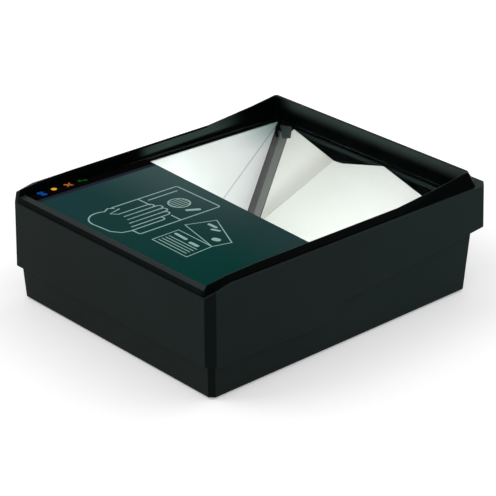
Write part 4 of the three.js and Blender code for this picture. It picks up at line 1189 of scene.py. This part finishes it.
def ink_lines(name, lines, width):
    """Flat raised lines of one width, through level points in mm."""
    piece = wire(name, [[Vector((x, y, 0)) * MM for x, y in line] for line in lines], width)
    piece.scale.z = ink_relief / width
    bpy.ops.object.transform_apply(location=False, rotation=False, scale=True)
    return piece


print("ink stands", ink_relief / 2, "mm above the film")

# %% Printed bars, and the tilt onto the glass
glass_tilt = -math.radians(1.216)
ink_lift = 0.2


def ink_bar(start, end, width):
    """A flat bar with round ends: two short posts wrapped in one hull."""
    only(bpy.context.object)
    for x, y in (start, end):
        bpy.ops.mesh.primitive_cylinder_add(
            vertices=16, radius=width / 2 * MM, depth=ink_relief * MM, location=(x * MM, y * MM, 0),
        )
        mode("EDIT")
    bpy.ops.mesh.select_all(action="SELECT")
    bpy.ops.mesh.convex_hull()
    mode("OBJECT")
    bpy.ops.object.transform_apply(location=True)
    return bpy.context.object


def joined(name, pieces):
    """One piece of one or more."""
    only(pieces[0])
    for piece in pieces[1:]:
        piece.select_set(True)
    if len(pieces) > 1:
        bpy.ops.object.join()
    return named(name)


def lay_on_glass(piece):
    """Tilts a level drawing onto the glass, just above the panel's film."""
    only(piece)
    piece.rotation_euler.x = glass_tilt
    middle = middle_of("label_panel")
    piece.location.z = (middle.z + middle.y * math.tan(-glass_tilt) + ink_lift) * MM
    bpy.ops.object.transform_apply(location=True, rotation=True, scale=True)


print("the glass is tilted by", round(math.degrees(-glass_tilt), 3), "degrees")

# %% The booklet, the hand and the cards
line_width, fine_width = 0.8, 0.6
stamp_x, stamp_y = -14, -35.3
booklet = [
    [(-3, -74), *arc(1.3, -72.8, 1.2, -90, 0, 3), *arc(1.3, -23.7, 1.2, 0, 90, 3),
     *arc(-29.8, -23.7, 1.2, 90, 180, 3), (-31, -65)],
    [(-31, -48), (-21, -48)], [(-5, -48), (2.5, -48)],
    [(-26.5, -45), (-26.5, -26)],
]
palm = [
    [(-29.6, -64), (-31.5, -67), *arc(-21.5, -75, 9.2, 150, 275, 10),
     (-9, -83), (-4.4, -79.5), (-3.2, -75)],
    [(-27.6, -62.5), (-25.6, -70), (-22.6, -67)],
]
fingers = [
    [(x, -67), *arc(x + 2, tip_y, 1.9, 180, 0, 6), (x + 4, -66 - (x + 22.6) * 0.5)]
    for x, tip_y in ((-22.6, -48.5), (-18.6, -46.2), (-14.6, -46.6), (-10.6, -48.4))
]
little_finger = [(-6.6, -53), *arc(-5, -54.5, 1.7, 120, 0, 4), (-3.2, -75)]
round_stamp = arc(stamp_x, stamp_y, 5.6, 0, 360, 20)
card_1 = loop((8.3, -50.4), (14.1, -34.9), (38.6, -46.7), (35.9, -57))
card_2 = loop((11.1, -73.4), (10.8, -56.6), (35.9, -57), (37, -73.8))
hatching = [
    [(stamp_x + x, stamp_y - reach), (stamp_x + x, stamp_y + reach)]
    for x, reach in ((-3.6, 4), (-1.8, 5), (0, 5.4), (1.8, 5), (3.6, 4))
]
card_rows = [[(13, -71 + 2.2 * k), (34, -71.3 + 2.2 * k)] for k in range(4)]

outlines = [*booklet, *palm, *fingers, little_finger, round_stamp, card_1, card_2]
drawing = ink_lines("pictogram_lines", outlines, line_width)
fine = ink_lines("pictogram_hatching", [*hatching, *card_rows], fine_width)
bars = [ink_bar(start, end, width) for start, end, width in (
    ((-4.5, -38), (-1.5, -33), 2.2), ((15.5, -41), (20.5, -41), 1.8),
    ((21, -44), (24.5, -42.4), 1.6), ((30.5, -50.5), (32, -50), 3.4),
    ((13.5, -60.5), (21.5, -61), 1.8), ((26, -62), (31, -62), 2),
)]
pictogram = joined("pictogram", [drawing, fine, *bars])
lay_on_glass(pictogram)
settle(pictogram, "printed_ink")

# %% [markdown]
# ## Status lights
# Four small signs glow through the smoked band: a blue pair of pages, an orange disc, a reddish cross
# and a green tick. They are drawn and tilted like the ink, and their finish shines.

# %% The four signs
signs = {
    "pages": ("blue_glow", 2.2, ((-68.8, -81.2), (-68.6, -79.8)), ((-66.2, -80.9), (-65.8, -79.6))),
    "disc": ("orange_glow", 2.8, ((-68.2, -72.5), (-68.2, -72.1))),
    "cross": ("red_glow", 1.1, ((-69.3, -64.8), (-66.3, -61.8)), ((-69.3, -61.8), (-66.3, -64.8))),
    "tick": ("green_glow", 0.9, ((-69.2, -55.6), (-68.3, -56.4)), ((-68.3, -56.4), (-67, -52.4))),
}
for name, (finish, width, *strokes) in signs.items():
    sign = joined(f"status_{name}", [ink_bar(start, end, width) for start, end in strokes])
    lay_on_glass(sign)
    settle(sign, finish)

# %% [markdown]
# ## The white panel
# The two rear panels are folded from one sheet, so the white one is copied and its left edge pushed up
# to the cream one. The gap of a hair that the frame leaves there would show as a black line.

# %% Push the white panel's edge to the fold
fold_gap = 0.28


def on_fold(point):
    """True for the points of the edge beside the cream panel."""
    x, _, z = point.co / MM
    foot_corner = x < -49 and z < 7
    head_corner = -20.5 < x < -19.9 and z > 43
    return foot_corner or head_corner


white_panel = merged_copy("white_panel", "white_reflector")
count = pick(white_panel, "VERT", on_fold)
bpy.ops.transform.translate(value=(-fold_gap * MM, 0, 0))
settle(white_panel, "rear_white", "white_reflector")
print("white panel points pushed:", count)

# %% [markdown]
# ## Hook and sockets
# At the top of the corner post a black wire hook holds the grey pull tab of the two rear panels. The
# hook is a line of edges with a round section; the tab is an outline that is filled and pushed out to
# its thickness. The two sockets at the back are copied and get the fine radius of a folded shell.

# %% The hook and its tab
hook_width = 1.7
tab_thick = 0.4
hook_line = [Vector(p) * MM for p in (
    (-64.6, 77.6, 44.6), (-66.2, 78.3, 45.7), (-67.5, 79.8, 47.6), (-67.8, 81.2, 49.2), (-67.2, 81.8, 50),
)]
tab_outline = [Vector(p) * MM for p in (
    (-66.4, 81.8, 49.2), (-58.4, 82.8, 50.6), (-55.7, 79.2, 45.8), (-61, 78.2, 44.4),
)]

hook = wire("wire_hook", [hook_line], hook_width)
settle(hook, "gasket_black", "post_hook")
tab = new_drawing("pull_tab", [loop(*tab_outline)])
bpy.ops.mesh.edge_face_add()
bpy.ops.mesh.extrude_region_move(TRANSFORM_OT_translate={"value": (0, -tab_thick * MM, tab_thick * MM)})
bpy.ops.mesh.select_all(action="SELECT")
bpy.ops.mesh.normals_make_consistent(inside=False)
settle(tab, "tab_grey", "post_hook")

# %% The sockets' shells
for node, finish in (("usb_socket", "bright_steel"), ("power_socket", "black_plastic")):
    mouth = box_of(node)[1].y - 0.2
    rounded_shell(node, finish, (lambda m, r: m.y > mouth or abs(r.y) > 0.9, 0.2))
